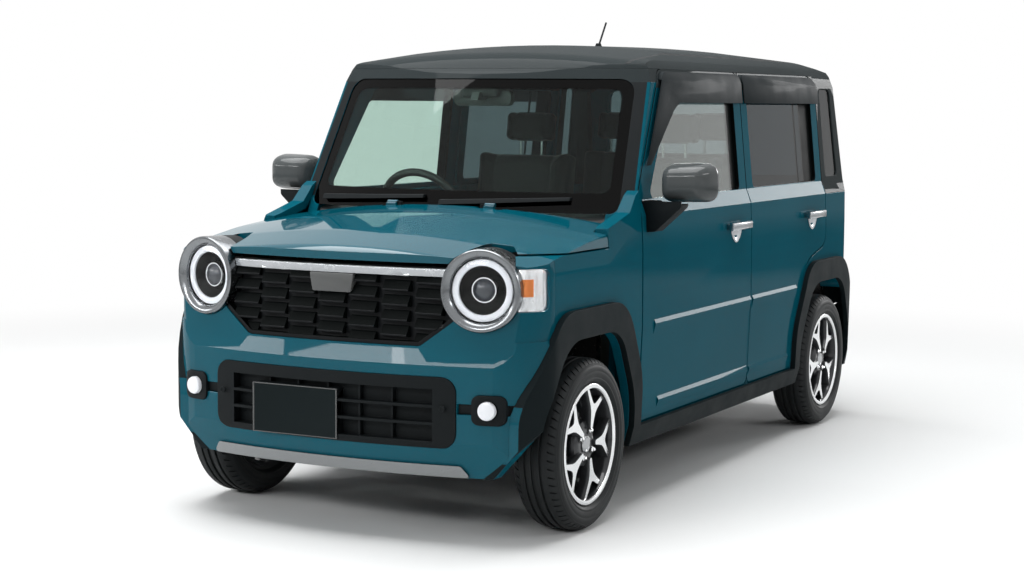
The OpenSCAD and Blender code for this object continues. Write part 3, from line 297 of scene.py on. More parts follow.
def makeGrain():  # moulded grain: a pebbled height and a soft tone
    g, gi, go = newGroup("mouldGrain", [("Tint", colour, (0.05, 0.05, 0.05, 1)), ("Size", number, 700),
                                        ("Spread", number, 0.25)],
                         [("Colour", colour), ("Height", number), ("Roughness", number)])
    pebble = onObject(g, "ShaderNodeTexVoronoi")
    pebble.feature = "SMOOTH_F1"
    wire(g, gi, "Size", pebble, "Scale")
    g.links.new(pebble.outputs["Distance"], go.inputs["Height"])
    tone = onObject(g, "ShaderNodeTexNoise", Scale=9.0, Detail=4.0).outputs["Fac"]
    shift = mathNode(g, "SUBTRACT", tone, 0.5)
    scaled = mathNode(g, "MULTIPLY", shift, gi.outputs["Spread"])
    level = mathNode(g, "ADD", scaled, 1.0)
    g.links.new(scaledBy(g, gi.outputs["Tint"], level), go.inputs["Colour"])
    rough = rangeNode(g, tone, From_Min=0.3, From_Max=0.7, To_Min=0.46, To_Max=0.62)
    g.links.new(rough, go.inputs["Roughness"])
    return g


def makeBrush():  # fine tool marks on bright metal
    g, gi, go = newGroup("toolMarks", [("Metal", colour, (0.7, 0.7, 0.7, 1)), ("Size", number, 260),
                                       ("Depth", number, 0.15)],
                         [("Colour", colour), ("Height", number), ("Roughness", number)])
    lines = onObject(g, "ShaderNodeTexNoise", Detail=6.0)
    wire(g, gi, "Size", lines, "Scale")
    marks = lines.outputs["Fac"]
    g.links.new(marks, go.inputs["Height"])
    dim = mathNode(g, "MULTIPLY", marks, gi.outputs["Depth"])
    level = mathNode(g, "SUBTRACT", 1.05, dim)
    g.links.new(scaledBy(g, gi.outputs["Metal"], level), go.inputs["Colour"])
    rough = rangeNode(g, marks, From_Min=0.3, From_Max=0.7, To_Min=0.14, To_Max=0.3)
    g.links.new(rough, go.inputs["Roughness"])
    return g


def makeWeave():  # two crossed threads
    g, gi, go = newGroup("seatWeave", [("Warp", colour, (0.05, 0.05, 0.05, 1)), ("Weft", colour, (0.1, 0.1, 0.1, 1)),
                                       ("Size", number, 240)],
                         [("Colour", colour), ("Height", number)])
    waves = []
    for axis in ("X", "Z"):
        w = onObject(g, "ShaderNodeTexWave", Distortion=0.6)
        w.bands_direction = axis
        wire(g, gi, "Size", w, "Scale")
        waves.append(w.outputs["Fac"])
    g.links.new(mathNode(g, "MAXIMUM", *waves), go.inputs["Height"])
    g.links.new(mixColour(g, waves[1], gi.outputs["Warp"], gi.outputs["Weft"]), go.inputs["Colour"])
    return g


flakeGroup, dustGroup, grainGroup = makeFlake(), makeDust(), makeGrain()
brushGroup, weaveGroup = makeBrush(), makeWeave()


def newFinish(name, **fixed):
    mat = bpy.data.materials.new(name)
    mat.use_nodes = True
    shader = mat.node_tree.nodes["Principled BSDF"]
    for k, v in fixed.items():
        shader.inputs[k.replace("_", " ")].default_value = v
    return mat, mat.node_tree, shader


def useGroup(tree, group, **values):
    n = tree.nodes.new("ShaderNodeGroup")
    n.node_tree = group
    for k, v in values.items():
        n.inputs[k].default_value = v
    return n


def bumpFrom(tree, socket, shader, strength, distance):
    b = addNode(tree, "ShaderNodeBump", Strength=strength, Distance=distance)
    tree.links.new(socket, b.inputs["Height"])
    wire(tree, b, "Normal", shader, "Normal")


def rgb(r, g, b):
    return (r, g, b, 1)


def darker(tint, share=0.96):
    return tuple(c * share for c in tint[:3]) + (1,)


def paintFinish(name, base, flake, amount, metallic=0.0, dust=0.05, coat=0.8):
    mat, t, s = newFinish(name, Metallic=metallic, Coat_Weight=coat, Coat_Roughness=0.03, Coat_IOR=1.45,
                          Specular_IOR_Level=0.0)
    f = useGroup(t, flakeGroup, Base=base, Flake=flake, Size=2600, Amount=amount)
    d = useGroup(t, dustGroup, Dust=rgb(0.16, 0.15, 0.13), Top=0.55, Amount=dust)
    wire(t, f, "Colour", d, "Clean")
    wire(t, d, "Colour", s, "Base Color")
    wire(t, f, "Roughness", s, "Roughness")
    return mat


def plasticFinish(name, tint, size=750, depth=0.0003, strength=0.35, spread=0.25, dust=0.1, top=0.7, **fixed):
    mat, t, s = newFinish(name, **fixed)
    g = useGroup(t, grainGroup, Tint=tint, Size=size, Spread=spread)
    d = useGroup(t, dustGroup, Dust=rgb(0.11, 0.1, 0.09), Top=top, Amount=dust)
    wire(t, g, "Colour", d, "Clean")
    wire(t, d, "Colour", s, "Base Color")
    wire(t, g, "Roughness", s, "Roughness")
    bumpFrom(t, g.outputs["Height"], s, strength, depth)
    return mat


def metalFinish(name, tint, size=260, depth=0.15, strength=0.05, metallic=1.0, **fixed):
    mat, t, s = newFinish(name, Metallic=metallic, **fixed)
    g = useGroup(t, brushGroup, Metal=tint, Size=size, Depth=depth)
    wire(t, g, "Colour", s, "Base Color")
    wire(t, g, "Roughness", s, "Roughness")
    bumpFrom(t, g.outputs["Height"], s, strength, 0.0002)
    return mat


def glassFinish(name, tint, transmission=1.0, coat=0.6):
    mat, t, s = newFinish(name, Transmission_Weight=transmission, IOR=1.05, Metallic=0.0, Coat_Weight=coat,
                          Coat_Roughness=0.01)
    haze = onObject(t, "ShaderNodeTexNoise", Scale=6.0, Detail=3.0).outputs["Fac"]
    t.links.new(rangeNode(t, haze, To_Max=0.02), s.inputs["Roughness"])
    t.links.new(mixColour(t, haze, tint, darker(tint)), s.inputs["Base Color"])
    return mat


# One teal paint in three copies that differ only in coat weight. These are lit and shaded copies: the glossy top copy
# is a painted sheen and the dull side copy is painted shade.
tealSpec = {"base": rgb(0.0008, 0.066, 0.098), "flake": rgb(0.01, 0.20, 0.25),
            "top": 0.8, "front": 0.4, "side": 0.16}  # the last three are coat weights
tealTop, tealFront, tealSide = [
    paintFinish("tealPaint-" + k, tealSpec["base"], tealSpec["flake"], 0.3, coat=tealSpec[k])
    for k in ("top", "front", "side")]
roofPaint = paintFinish("gunmetalPaint", rgb(0.022, 0.028, 0.030), rgb(0.10, 0.11, 0.11), 0.4, dust=0.0, coat=0.1)
capPaint = paintFinish("mirrorCapPaint", rgb(0.05, 0.058, 0.060), rgb(0.2, 0.2, 0.2), 0.5, dust=0.0, coat=0.6)
cladPlastic = plasticFinish("claddingPlastic", rgb(0.006, 0.010, 0.0115), dust=0.05, Specular_IOR_Level=0.05)
trimPlastic = plasticFinish("trimPlastic", rgb(0.005, 0.007, 0.008), size=900, dust=0.04, Specular_IOR_Level=0.10)
glossBlack = plasticFinish("glossBlackPlastic", rgb(0.002, 0.003, 0.003), size=300, strength=0.02, dust=0.02,
                           Specular_IOR_Level=0.03, Coat_Weight=0.05, Coat_Roughness=0.06)
# A lighter, glossier copy of the black grille plastic for the louvres' front faces: a painted highlight.
louvrePaintedHighlight = plasticFinish("louvrePaintedHighlight", rgb(0.006, 0.007, 0.008), size=300, strength=0.02, dust=0.03,
                           Specular_IOR_Level=0.05, Coat_Weight=0.10, Coat_Roughness=0.08)
visorPlastic = plasticFinish("visorPlastic", rgb(0.014, 0.018, 0.020), size=300, strength=0.02, dust=0.0,
                             Specular_IOR_Level=0.02, Coat_Weight=0.02, Coat_Roughness=0.12)
cabinPlastic = plasticFinish("cabinPlastic", rgb(0.022, 0.024, 0.025), size=600, dust=0.0)
chromeMetal = metalFinish("brightChrome", rgb(0.86, 0.87, 0.88), size=40, depth=0.06, strength=0.01)
satinMetal = metalFinish("satinSilver", rgb(0.40, 0.41, 0.42), size=420, depth=0.2)
skidMetal = metalFinish("skidSilver", rgb(0.24, 0.25, 0.255), size=420, depth=0.2)
bezelChrome = metalFinish("bezelDarkChrome", rgb(0.20, 0.21, 0.22), size=60, depth=0.1, strength=0.01)
stripChrome = metalFinish("stripChrome", rgb(0.46, 0.48, 0.50), size=60, depth=0.1, strength=0.01)
castMetal = metalFinish("castAlloy", rgb(0.25, 0.25, 0.25), size=90, depth=0.4, strength=0.3)
darkSteel = metalFinish("darkSteel", rgb(0.05, 0.05, 0.05), size=60, depth=0.5, strength=0.2, metallic=0.6)
rubber = plasticFinish("tyreRubber", rgb(0.009, 0.011, 0.012), size=420, depth=0.0004, strength=0.3, dust=0.06,
                       top=0.6, Specular_IOR_Level=0.18)
guideWhite = plasticFinish("lampGuideWhite", rgb(0.82, 0.84, 0.88), size=160, depth=0.0012, strength=0.5, spread=0.1,
                           dust=0.0, Coat_Weight=0.8, Coat_Roughness=0.02)
projectorGlass = plasticFinish("projectorGlass", rgb(0.010, 0.016, 0.026), size=60, strength=0.0, dust=0.0,
                               Coat_Weight=1.0, Coat_Roughness=0.01)
amberLens = plasticFinish("amberLens", rgb(0.75, 0.20, 0.02), size=220, depth=0.001, strength=0.5, dust=0.0,
                          Coat_Weight=0.8, Coat_Roughness=0.03)
frontGlass = glassFinish("greenGlass", rgb(0.80, 0.92, 0.86), coat=1.0)
darkGlass = glassFinish("privacyGlass", rgb(0.09, 0.12, 0.135), coat=0.4)
clearLens = glassFinish("clearLens", rgb(0.97, 0.98, 0.99), coat=0.2)
redLens = glassFinish("redLens", rgb(0.55, 0.01, 0.01), transmission=0.55)


def makeScreenGlass(spec):  # windscreen with a dark printed border, measured in from its edges
    mat, t, s = newFinish("screenGlass", Transmission_Weight=1.0, IOR=1.05, Metallic=0.0, Roughness=0.0,
                          Coat_Weight=0.25, Coat_Roughness=0.01)
    sep = onObject(t, "ShaderNodeSeparateXYZ")
    out = mathNode(t, "ABSOLUTE", sep.outputs["X"])
    lean = mathNode(t, "MULTIPLY", sep.outputs["Z"], spec["taper"])
    reach = mathNode(t, "SUBTRACT", spec["halfAtFoot"], lean)
    side = mathNode(t, "SUBTRACT", reach, out)
    top = mathNode(t, "SUBTRACT", spec["topZ"], sep.outputs["Z"])
    foot = mathNode(t, "SUBTRACT", sep.outputs["Z"], spec["footZ"])
    lower = mathNode(t, "SMOOTH_MIN", top, foot, spec["corner"])
    near = mathNode(t, "SMOOTH_MIN", side, lower, spec["corner"])
    ramp = rangeNode(t, near, From_Min=spec["border"], From_Max=spec["border"] + spec["fade"])
    haze = onObject(t, "ShaderNodeTexNoise", Scale=5.0, Detail=3.0).outputs["Fac"]
    clear = mixColour(t, haze, spec["tint"], darker(spec["tint"]))
    t.links.new(mixColour(t, ramp, spec["print"], clear), s.inputs["Base Color"])
    return mat


screenSpec = {"tint": rgb(0.60, 0.74, 0.69), "print": rgb(0.002, 0.003, 0.003), "taper": 0.109, "halfAtFoot": 0.751,
              "topZ": 1.512, "footZ": 1.068, "border": 0.036, "fade": 0.004, "corner": 0.06}
screenGlass = makeScreenGlass(screenSpec)
print("finishes made")


# studio: pale floor, soft light
studio = {"floor": (0.78, 0.79, 0.79), "fadeStart": 2.9, "fadeEnd": 6.5, "shineStart": 16.0,
          "shineEnd": 30.0, "horizon": 0.08, "zenith": 0.26, "riseStart": 0.05, "riseEnd": 0.75, "radius": 40}


def makeStudio(spec):
    pickNone()
    bpy.ops.mesh.primitive_circle_add(vertices=96, radius=spec["radius"], fill_type="NGON")
    floor = bpy.context.object
    floor.name = "studioFloor"
    mat = bpy.data.materials.new("paleFloor")
    mat.use_nodes = True
    t = mat.node_tree
    s, out = t.nodes["Principled BSDF"], t.nodes["Material Output"]
    s.inputs["Roughness"].default_value = 0.75
    s.inputs["Specular IOR Level"].default_value = 0.2
    cloud = onObject(t, "ShaderNodeTexNoise", Scale=0.8, Detail=2.0)
    tint = rgb(*spec["floor"])
    t.links.new(mixColour(t, cloud.outputs["Fac"], tint, darker(tint, 0.985)), s.inputs["Base Color"])
    far = onObject(t, "ShaderNodeVectorMath")
    far.operation = "LENGTH"
    away = far.outputs["Value"]
    fade = rangeNode(t, away, eased=True, From_Min=spec["fadeStart"], From_Max=spec["fadeEnd"])
    reach = rangeNode(t, away, From_Min=spec["shineStart"], From_Max=spec["shineEnd"])
    path = addNode(t, "ShaderNodeLightPath")
    eye = mathNode(t, "ADD", path.outputs["Is Camera Ray"], path.outputs["Is Transmission Ray"], clamp=True)
    near = mathNode(t, "MULTIPLY", fade, eye)
    shine = mathNode(t, "MULTIPLY", reach, path.outputs["Is Glossy Ray"])
    seen = mathNode(t, "ADD", near, shine, clamp=True)
    white = addNode(t, "ShaderNodeEmission", Color=rgb(1, 1, 1), Strength=1.0)
    mix = addNode(t, "ShaderNodeMixShader")
    for socket, source in zip(mix.inputs, (seen, s.outputs[0], white.outputs[0])):
        t.links.new(source, socket)
    t.links.new(mix.outputs[0], out.inputs["Surface"])
    floor.data.materials.append(mat)

    world = bpy.data.worlds.new("studioLight")
    scene.world = world
    world.use_nodes = True
    w = world.node_tree
    back = w.nodes["Background"]
    sep = addNode(w, "ShaderNodeSeparateXYZ")
    wire(w, addNode(w, "ShaderNodeTexCoord"), "Generated", sep, "Vector")
    rise = rangeNode(w, sep.outputs["Z"], eased=True, From_Min=spec["riseStart"], From_Max=spec["riseEnd"],
                     To_Min=spec["horizon"], To_Max=spec["zenith"])
    path = addNode(w, "ShaderNodeLightPath")
    eye = mathNode(w, "ADD", path.outputs["Is Camera Ray"], path.outputs["Is Transmission Ray"])
    seen = mathNode(w, "ADD", eye, path.outputs["Is Glossy Ray"], clamp=True)
    level = addNode(w, "ShaderNodeMix")
    w.links.new(seen, level.inputs[0])
    w.links.new(rise, level.inputs[2])
    level.inputs[3].default_value = 1.0
    w.links.new(level.outputs[0], back.inputs["Strength"])
    back.inputs["Color"].default_value = rgb(1, 1, 1)


softboxes = [  # name, place, aim, width, height, watts
    ("topBox", (-1.0, -0.5, 6.0), (-1.0, -0.5, 0), 6.4, 5.8, 620),
    ("noseRight", (-5.8, -5.0, 2.8), (0, -1.6, 0.6), 3.4, 0.8, 95),
    ("noseMiddle", (-3.3, -7.2, 3.4), (0, -1.6, 0.6), 3.2, 0.8, 95),
    ("noseLeft", (-0.7, -7.9, 3.7), (0, -1.6, 0.6), 3.0, 0.8, 95),
    ("sideBox", (6.0, -0.6, 3.2), (0.5, 0.0, 0.8), 4.0, 0.7, 70),
    ("rearBox", (3.2, 9.0, 3.1), (0.7, 0.0, 0.7), 2.6, 1.9, 230)]


def makeLights(rows):
    for name, place, aim, wide, tall, watts in rows:
        lamp = bpy.data.lights.new(name, "AREA")
        lamp.shape, lamp.size, lamp.size_y, lamp.energy = "RECTANGLE", wide, tall, watts
        obj = bpy.data.objects.new(name, lamp)
        scene.collection.objects.link(obj)
        obj.location = place
        obj.rotation_euler = (Vector(aim) - Vector(place)).to_track_quat("-Z", "Y").to_euler()


makeStudio(studio)
makeLights(softboxes)
print("studio ready")


# pieces turned or cut from a primitive
def ringOf(name, points, fill):  # a primitive ring with its points put in place, open for editing
    pickNone()
    bpy.ops.mesh.primitive_circle_add(vertices=len(points), radius=0.1, fill_type=fill)
    obj = bpy.context.object
    obj.name = obj.data.name = name
    for v, place in zip(obj.data.vertices, points):
        v.co = place
    openEdit(obj)
    return obj


def spun(name, loop, steps):  # loop of (radius, height) turned round Z
    obj = ringOf(name, [(r, 0, h) for r, h in loop], "NOTHING")
    bpy.ops.mesh.spin(steps=steps, angle=math.tau, center=(0, 0, 0), axis=(0, 0, 1))
    bpy.ops.mesh.select_all(action="SELECT")
    bpy.ops.mesh.remove_doubles(threshold=0.00002)
    bpy.ops.mesh.normals_make_consistent(inside=False)
    closeEdit()
    return obj


def plate(name, outline, depth):  # flat outline in x, y, drawn down by depth
    obj = ringOf(name, [(x, y, 0) for x, y in outline], "NGON")
    bpy.ops.mesh.extrude_region_move(TRANSFORM_OT_translate={"value": (0, 0, -depth)})
    bpy.ops.mesh.select_all(action="SELECT")
    bpy.ops.mesh.normals_make_consistent(inside=False)
    closeEdit()
    return obj


def unitCube(name):
    pickNone()
    bpy.ops.mesh.primitive_cube_add(size=1)
    obj = bpy.context.object
    obj.name = obj.data.name = name
    return obj


def moved(obj, matrix):  # the matrix goes into the mesh
    obj.data.transform(matrix)
    if matrix.determinant() < 0:
        obj.data.flip_normals()
    obj.data.update()
    return obj


def twinOf(obj, name, matrix=None):
    twin = obj.copy()
    twin.data = obj.data.copy()
    twin.name = twin.data.name = name
    scene.collection.objects.link(twin)
    if matrix is not None:
        moved(twin, matrix)
    return twin


def aroundZ(obj, count):  # copies of a piece about the axle
    step = math.tau / count
    rows = [twinOf(obj, obj.name + str(k), Matrix.Rotation(step * k, 4, "Z")) for k in range(1, count)]
    return joined(obj.name, [obj] + rows)


def pickFaces(obj, test):
    pickOnly(obj)
    bpy.ops.object.mode_set(mode="EDIT")
    bpy.ops.mesh.select_mode(type="FACE")
    bpy.ops.mesh.select_all(action="DESELECT")
    bm = bmesh.from_edit_mesh(obj.data)
    for f in bm.faces:
        f.select_set(test(f))
    bmesh.update_edit_mesh(obj.data)


def dropFaces(obj, test):
    pickFaces(obj, test)
    bpy.ops.mesh.delete(type="FACE")
    closeEdit()


def sinkTop(obj, *steps):  # insets of the upper face, each a width and a depth
    pickFaces(obj, lambda f: f.normal.z > 0.9)
    for width, depth in steps:
        bpy.ops.mesh.inset(thickness=width, depth=depth)
    closeEdit()


def dropMasters(*masters):  # the copies stay
    for m in masters:
        bpy.data.objects.remove(m)


# wheels
wheelSpec = {"spokes": 5, "faceHub": 0.0680, "faceFall": 0.055, "spokeDepth": 0.034, "faceEdge": 0.0011,
             "flare": 0.10, "flareOut": 0.004, "brightFrom": 0.0655, "nutCircle": 0.050, "nuts": 4}
spokeHalf = [(0.0500, 0.0), (0.0512, 0.0052), (0.0555, 0.0088), (0.0850, 0.0125), (0.1080, 0.0175), (0.1235, 0.0258),
             (0.1500, 0.0480), (0.1772, 0.0728), (0.1806, 0.0638), (0.1832, 0.0560), (0.1610, 0.0318), (0.1445, 0.0120),
             (0.1405, 0.0045), (0.1395, 0.0)]
machinedFace = metalFinish("machinedAlloy", rgb(0.80, 0.81, 0.82), size=700, depth=0.12, strength=0.03)
wheelPaint = paintFinish("wheelDarkPaint", rgb(0.022, 0.024, 0.027), rgb(0.12, 0.12, 0.13), 0.3, metallic=0.4,
                         dust=0.1)
discMetal = metalFinish("brakeDisc", rgb(0.42, 0.42, 0.42), size=500, depth=0.3, strength=0.2)


def makeWheel(spec):
    rim = spun("rim", [(0.1862, -0.070), (0.1920, -0.070), (0.1920, 0.0630), (0.2028, 0.0662), (0.2035, 0.0700),
                       (0.2026, 0.0733), (0.2000, 0.0748), (0.1930, 0.0752), (0.1893, 0.0740), (0.1862, 0.0690),
                       (0.1800, 0.0480), (0.1720, 0.0100), (0.1690, -0.030), (0.1790, -0.070)], 96)
    dress(rim, wheelPaint, machinedFace)
    finishBy(rim, 1, lambda c, n: c.z > spec["brightFrom"])
    outline = spokeHalf + [(x, -y) for x, y in reversed(spokeHalf[1:-1])]
    spoke = plate("spoke", outline, spec["spokeDepth"])
    sinkTop(spoke, (spec["faceEdge"], 0.0))
    for v in spoke.data.vertices:
        deep = -v.co.z / spec["spokeDepth"]
        away = math.copysign(spec["flareOut"] * deep, v.co.y) if abs(v.co.y) > 0.001 else 0
        v.co.y = v.co.y * (1 + spec["flare"] * deep) + away
        v.co.z += spec["faceHub"] - spec["faceFall"] * (v.co.x - spokeHalf[0][0])
    roundEdges(spoke, 0.0007, 2, 25)
    dress(spoke, wheelPaint, machinedFace)
    for p in spoke.data.polygons:
        if p.normal.z > 0.94 and p.area > 0.0004:
            p.material_index = 1
    spokes = aroundZ(spoke, spec["spokes"])
    hub = spun("hub", [(0.0, 0.030), (0.075, 0.030), (0.080, 0.036), (0.0755, 0.0480), (0.0640, 0.0545),
                       (0.0420, 0.0560), (0.0350, 0.0535), (0.0300, 0.0535), (0.0, 0.0535)], 64)
    dress(hub, wheelPaint)
    cap = spun("cap", [(0.0, 0.0530), (0.0290, 0.0530), (0.0296, 0.0565), (0.0275, 0.0602), (0.0225, 0.0612),
                       (0.0205, 0.0600), (0.0120, 0.0607), (0.0, 0.0610)], 48)
    dress(cap, satinMetal)
    seat = spun("nutSeat", [(0.0095, 0.050), (0.0150, 0.050), (0.0155, 0.0572), (0.0143, 0.0580),
                            (0.0125, 0.0560), (0.0112, 0.0520)], 24)
    dress(seat, wheelPaint)
    nut = spun("nut", [(0.0, 0.050), (0.0096, 0.050), (0.0098, 0.0610), (0.0088, 0.0625), (0.0070, 0.0640),
                       (0.0056, 0.0690), (0.0034, 0.0708), (0.0, 0.0713)], 6)
    dress(nut, chromeMetal)
    pairs = []
    for part in (seat, nut):
        moved(part, Matrix.Translation((spec["nutCircle"], 0, 0)))
        moved(part, Matrix.Rotation(math.radians(45), 4, "Z"))
        pairs.append(aroundZ(part, spec["nuts"]))
    disc = spun("disc", [(0.066, -0.024), (0.122, -0.024), (0.1225, -0.021), (0.1225, -0.013), (0.122, -0.010),
                         (0.1210, -0.0100), (0.0980, -0.0100), (0.0975, -0.0106), (0.0965, -0.0106),
                         (0.0960, -0.0100), (0.078, -0.0100), (0.0760, 0.006), (0.0720, 0.010),
                         (0.060, 0.012), (0.060, -0.020)], 72)
    dress(disc, discMetal)
    back = spun("barrelBack", [(0.0175, -0.030), (0.030, -0.030), (0.062, -0.022), (0.066, 0.031),
                               (0.0175, 0.031)], 48)
    dress(back, wheelPaint)
    wheel = joined("alloyWheel", [rim, spokes, hub, cap, *pairs, disc, back])
    smooth(wheel, 28)
    return wheel


tyreSpec = {"pitches": 64, "blockShare": 0.80, "blockSkew": 0.10}
tyreHalf = [(0.1928, 0.0652), (0.2052, 0.0670), (0.2100, 0.0722), (0.2150, 0.0780), (0.2185, 0.0803), (0.2215, 0.0806),
            (0.2240, 0.0796), (0.2262, 0.0803), (0.2340, 0.0818), (0.2440, 0.0824), (0.2452, 0.0818), (0.2470, 0.0818),
            (0.2482, 0.0823), (0.2560, 0.0813), (0.2640, 0.0788), (0.2652, 0.0776), (0.2668, 0.0776), (0.2700, 0.0750),
            (0.2742, 0.0688), (0.2768, 0.0560), (0.2785, 0.0520), (0.2860, 0.0515), (0.2880, 0.0480), (0.2889, 0.0330),
            (0.2880, 0.0320), (0.2825, 0.0312), (0.2825, 0.0238), (0.2885, 0.0230), (0.2894, 0.0220), (0.2895, 0.0075),
            (0.2890, 0.0066), (0.2830, 0.0058), (0.2830, 0.0)]


def makeTyre(spec):
    loop = tyreHalf + [(r, -h) for r, h in reversed(tyreHalf[:-1])]
    tyre = spun("tyreBody", loop, 128)
    step = math.tau / spec["pitches"]
    block = unitCube("tyreBlock")
    openEdit(block)
    bpy.ops.mesh.subdivide(number_cuts=3)
    closeEdit()
    top = [(0.2874, 0.0505), (0.2856, 0.0570), (0.2816, 0.0640), (0.2752, 0.0702), (0.2690, 0.0752)]
    foot = [(0.2750, 0.0500), (0.2735, 0.0545), (0.2700, 0.0600), (0.2665, 0.0650), (0.2635, 0.0700)]
    for v in block.data.vertices:
        k = round((v.co.x + 0.5) * 4)
        f = v.co.z + 0.5
        r = foot[k][0] + (top[k][0] - foot[k][0]) * f
        h = foot[k][1] + (top[k][1] - foot[k][1]) * f
        a = v.co.y * step * spec["blockShare"] + k * step * spec["blockSkew"]
        v.co = (r * math.cos(a), r * math.sin(a), h)
    openEdit(block)
    bpy.ops.mesh.dissolve_limited(angle_limit=math.radians(1))
    bpy.ops.mesh.normals_make_consistent(inside=False)
    closeEdit()
    ring = aroundZ(block, spec["pitches"])
    other = twinOf(ring, "tyreBlocksInner", Matrix.Rotation(math.pi, 4, "X") @ Matrix.Rotation(step / 2, 4, "Z"))
    tyre = joined("tyre", [tyre, ring, other])
    dress(tyre, rubber)
    smooth(tyre, 34)
    return tyre


axleSpec = {"front": (-1.1825, 16, 40), "rear": (1.2775, -8, 70),  # place along the car, turn of each wheel
            "halfTrack": 0.645, "hubZ": 0.2895}
wheelMaster, tyreMaster = makeWheel(wheelSpec), makeTyre(tyreSpec)
for end in ("front", "rear"):
    axleY, leftTurn, rightTurn = axleSpec[end]
    for side, sign, stand in (("left", 1, leftTurn), ("right", -1, rightTurn)):
        turn = (Matrix.Translation((sign * axleSpec["halfTrack"], axleY, axleSpec["hubZ"]))
                @ Matrix.Rotation(sign * math.pi / 2, 4, "Y") @ Matrix.Rotation(math.radians(stand), 4, "Z"))
        for kind, master in (("wheel", wheelMaster), ("tyre", tyreMaster)):
            piece = twinOf(master, f"{kind}-{end}-{side}", turn)
            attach(piece, f"{end}_{side}_wheel")
            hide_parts(f"{kind}_{end}_{side}")
dropMasters(wheelMaster, tyreMaster)
print("wheels fitted")

# painted panels
beltZ, headZ = 1.0865, 1.480
paintCrease = 15  # pressed edges stay crisp
sideSpec = {"beltCut": 1.066, "headCut": 1.499, "rearCut": 1.286, "screenY": -0.45,
            "pillarIn": 0.796, "pillarLean": 0.109}


def windowFrame(c, n):  # dark rubber inside the window opening
    return beltZ < c.z < headZ and abs(n.x) < 0.5


def doorHead(c, n):
    return c.z > headZ


glassBands = {"front": [(0.212, 0.50)], "rear": [(1.012, 1.026), (1.092, 1.40)]}


def glassBand(end):
    return lambda c, n: any(a < c.y < b for a, b in glassBands[end])


def pillarFront(c, n):  # black beside the windscreen
    within = abs(c.x) + sideSpec["pillarLean"] * c.z < sideSpec["pillarIn"]
    return within and n.y < -0.5 and c.y < sideSpec["screenY"] and sideSpec["beltCut"] < c.z < sideSpec["headCut"]


def darkUpper(c, n):  # roof rail and rear quarter
    return c.z > sideSpec["headCut"] or (c.y > sideSpec["rearCut"] and c.z > sideSpec["beltCut"])


fittingSpec = {"mirrorRear": -0.5, "mirrorIn": 0.722, "mirrorZ": (1.066, 1.23), "footTop": 1.0835, "footOut": 0.842,
               "footY": -0.64, "handleTop": 0.985, "baseTop": 1.10, "edge": 0.0016}


def isMirrorHead(f):  # the foot under the head stays
    c, spec = f.calc_center_median(), fittingSpec
    low, high = spec["mirrorZ"]
    foot = c.z < spec["footTop"] and abs(c.x) < spec["footOut"] and abs(f.normal.z) < 0.5 and c.y < spec["footY"]
    return c.y < spec["mirrorRear"] and abs(c.x) > spec["mirrorIn"] and low < c.z < high and not foot


def doorFittings(end, side):  # visor and handle from the solid, the mirror's head is made below
    spec = fittingSpec
    trim = shellOf(f"{end}-trim-{side}-skin", [f"{end}_trim_{side}"])
    if end == "front":
        dropFaces(trim, isMirrorHead)
    roundEdges(trim, spec["edge"])
    dress(trim, visorPlastic, stripChrome, trimPlastic)
    finishBy(trim, 1, lambda c, n: c.z < spec["handleTop"] and c.y > spec["mirrorRear"])
    finishBy(trim, 2, lambda c, n: c.z < spec["baseTop"] and c.y < spec["mirrorRear"])
    smooth(trim, 38)
    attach(trim, f"{end}_{side}_door")
    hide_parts(f"{end}_trim_{side}")


# Painted sheen and shade: the bonnet takes the glossiest teal copy, the bumper a middle one, and the wings, doors,
# sides and tailgate the dullest.
skinFrom("front-bumper-skin", ["front_bumper"], [tealFront], crease=paintCrease)
skinFrom("front-wings-skin", ["front_wings"], [tealSide], crease=paintCrease)
skinFrom("bonnet-skin", ["bonnet"], [tealTop], crease=paintCrease)
skinFrom("tailgate-skin", ["tailgate"], [tealSide], crease=paintCrease)
skinFrom("body-sides-skin", ["body_sides"], [tealSide, roofPaint, trimPlastic], crease=paintCrease,
         cuts=[*levels(sideSpec["headCut"], sideSpec["beltCut"]), ((0, sideSpec["rearCut"], 0), (0, 1, 0)),
               *[((k * sideSpec["pillarIn"], 0, 0), (1, 0, k * sideSpec["pillarLean"])) for k in (1, -1)]],
         parts=[(2, pillarFront), (1, darkUpper)])
for end in ("front", "rear"):
    for side in ("left", "right"):
        skinFrom(f"{end}-door-{side}-skin", [f"{end}_door_{side}"], [tealSide, glossBlack, roofPaint],
                 crease=paintCrease, cuts=levels(beltZ, headZ), parts=[(1, windowFrame), (2, doorHead)])
        skinFrom(f"{end}-glass-{side}-pane", [f"{end}_glass_{side}"],
                 [frontGlass if end == "front" else darkGlass, glossBlack], edge=0,
                 cuts=[((0, y, 0), (0, 1, 0)) for band in glassBands[end] for y in band],
                 parts=[(1, glassBand(end))])
        doorFittings(end, side)
ditch, ditchEnd = (0.543, 0.557), 1.46  # the roof's two channels
skinFrom("roof-skin", ["roof_panel"], [roofPaint, trimPlastic],
         cuts=[((k * x, 0, 0), (1, 0, 0)) for k in (-1, 1) for x in ditch],
         parts=[(1, lambda c, n: ditch[0] < abs(c.x) < ditch[1] and n.z > 0.5 and c.y < ditchEnd)])
print("panels dressed")

# grilles, cladding and glass
grilleSpec = {"lowerTop": 0.6, "louvreY": -1.60, "strip": (0.868, 0.894), "stripY": -1.58}
cladSpec = {"strip": (0.2795, 0.2875), "stripY": (-0.72, 0.90), "noseY": -1.585, "noseX": 0.655}
lampBands = (0.80, 0.862)  # clear below, amber between, red above


# The louvres' front faces, which take the lighter copy of the black plastic as a painted highlight.
def louvreFront(c, n):
    return c.z > grilleSpec["lowerTop"] and n.y < -0.9 and c.y < grilleSpec["louvreY"]


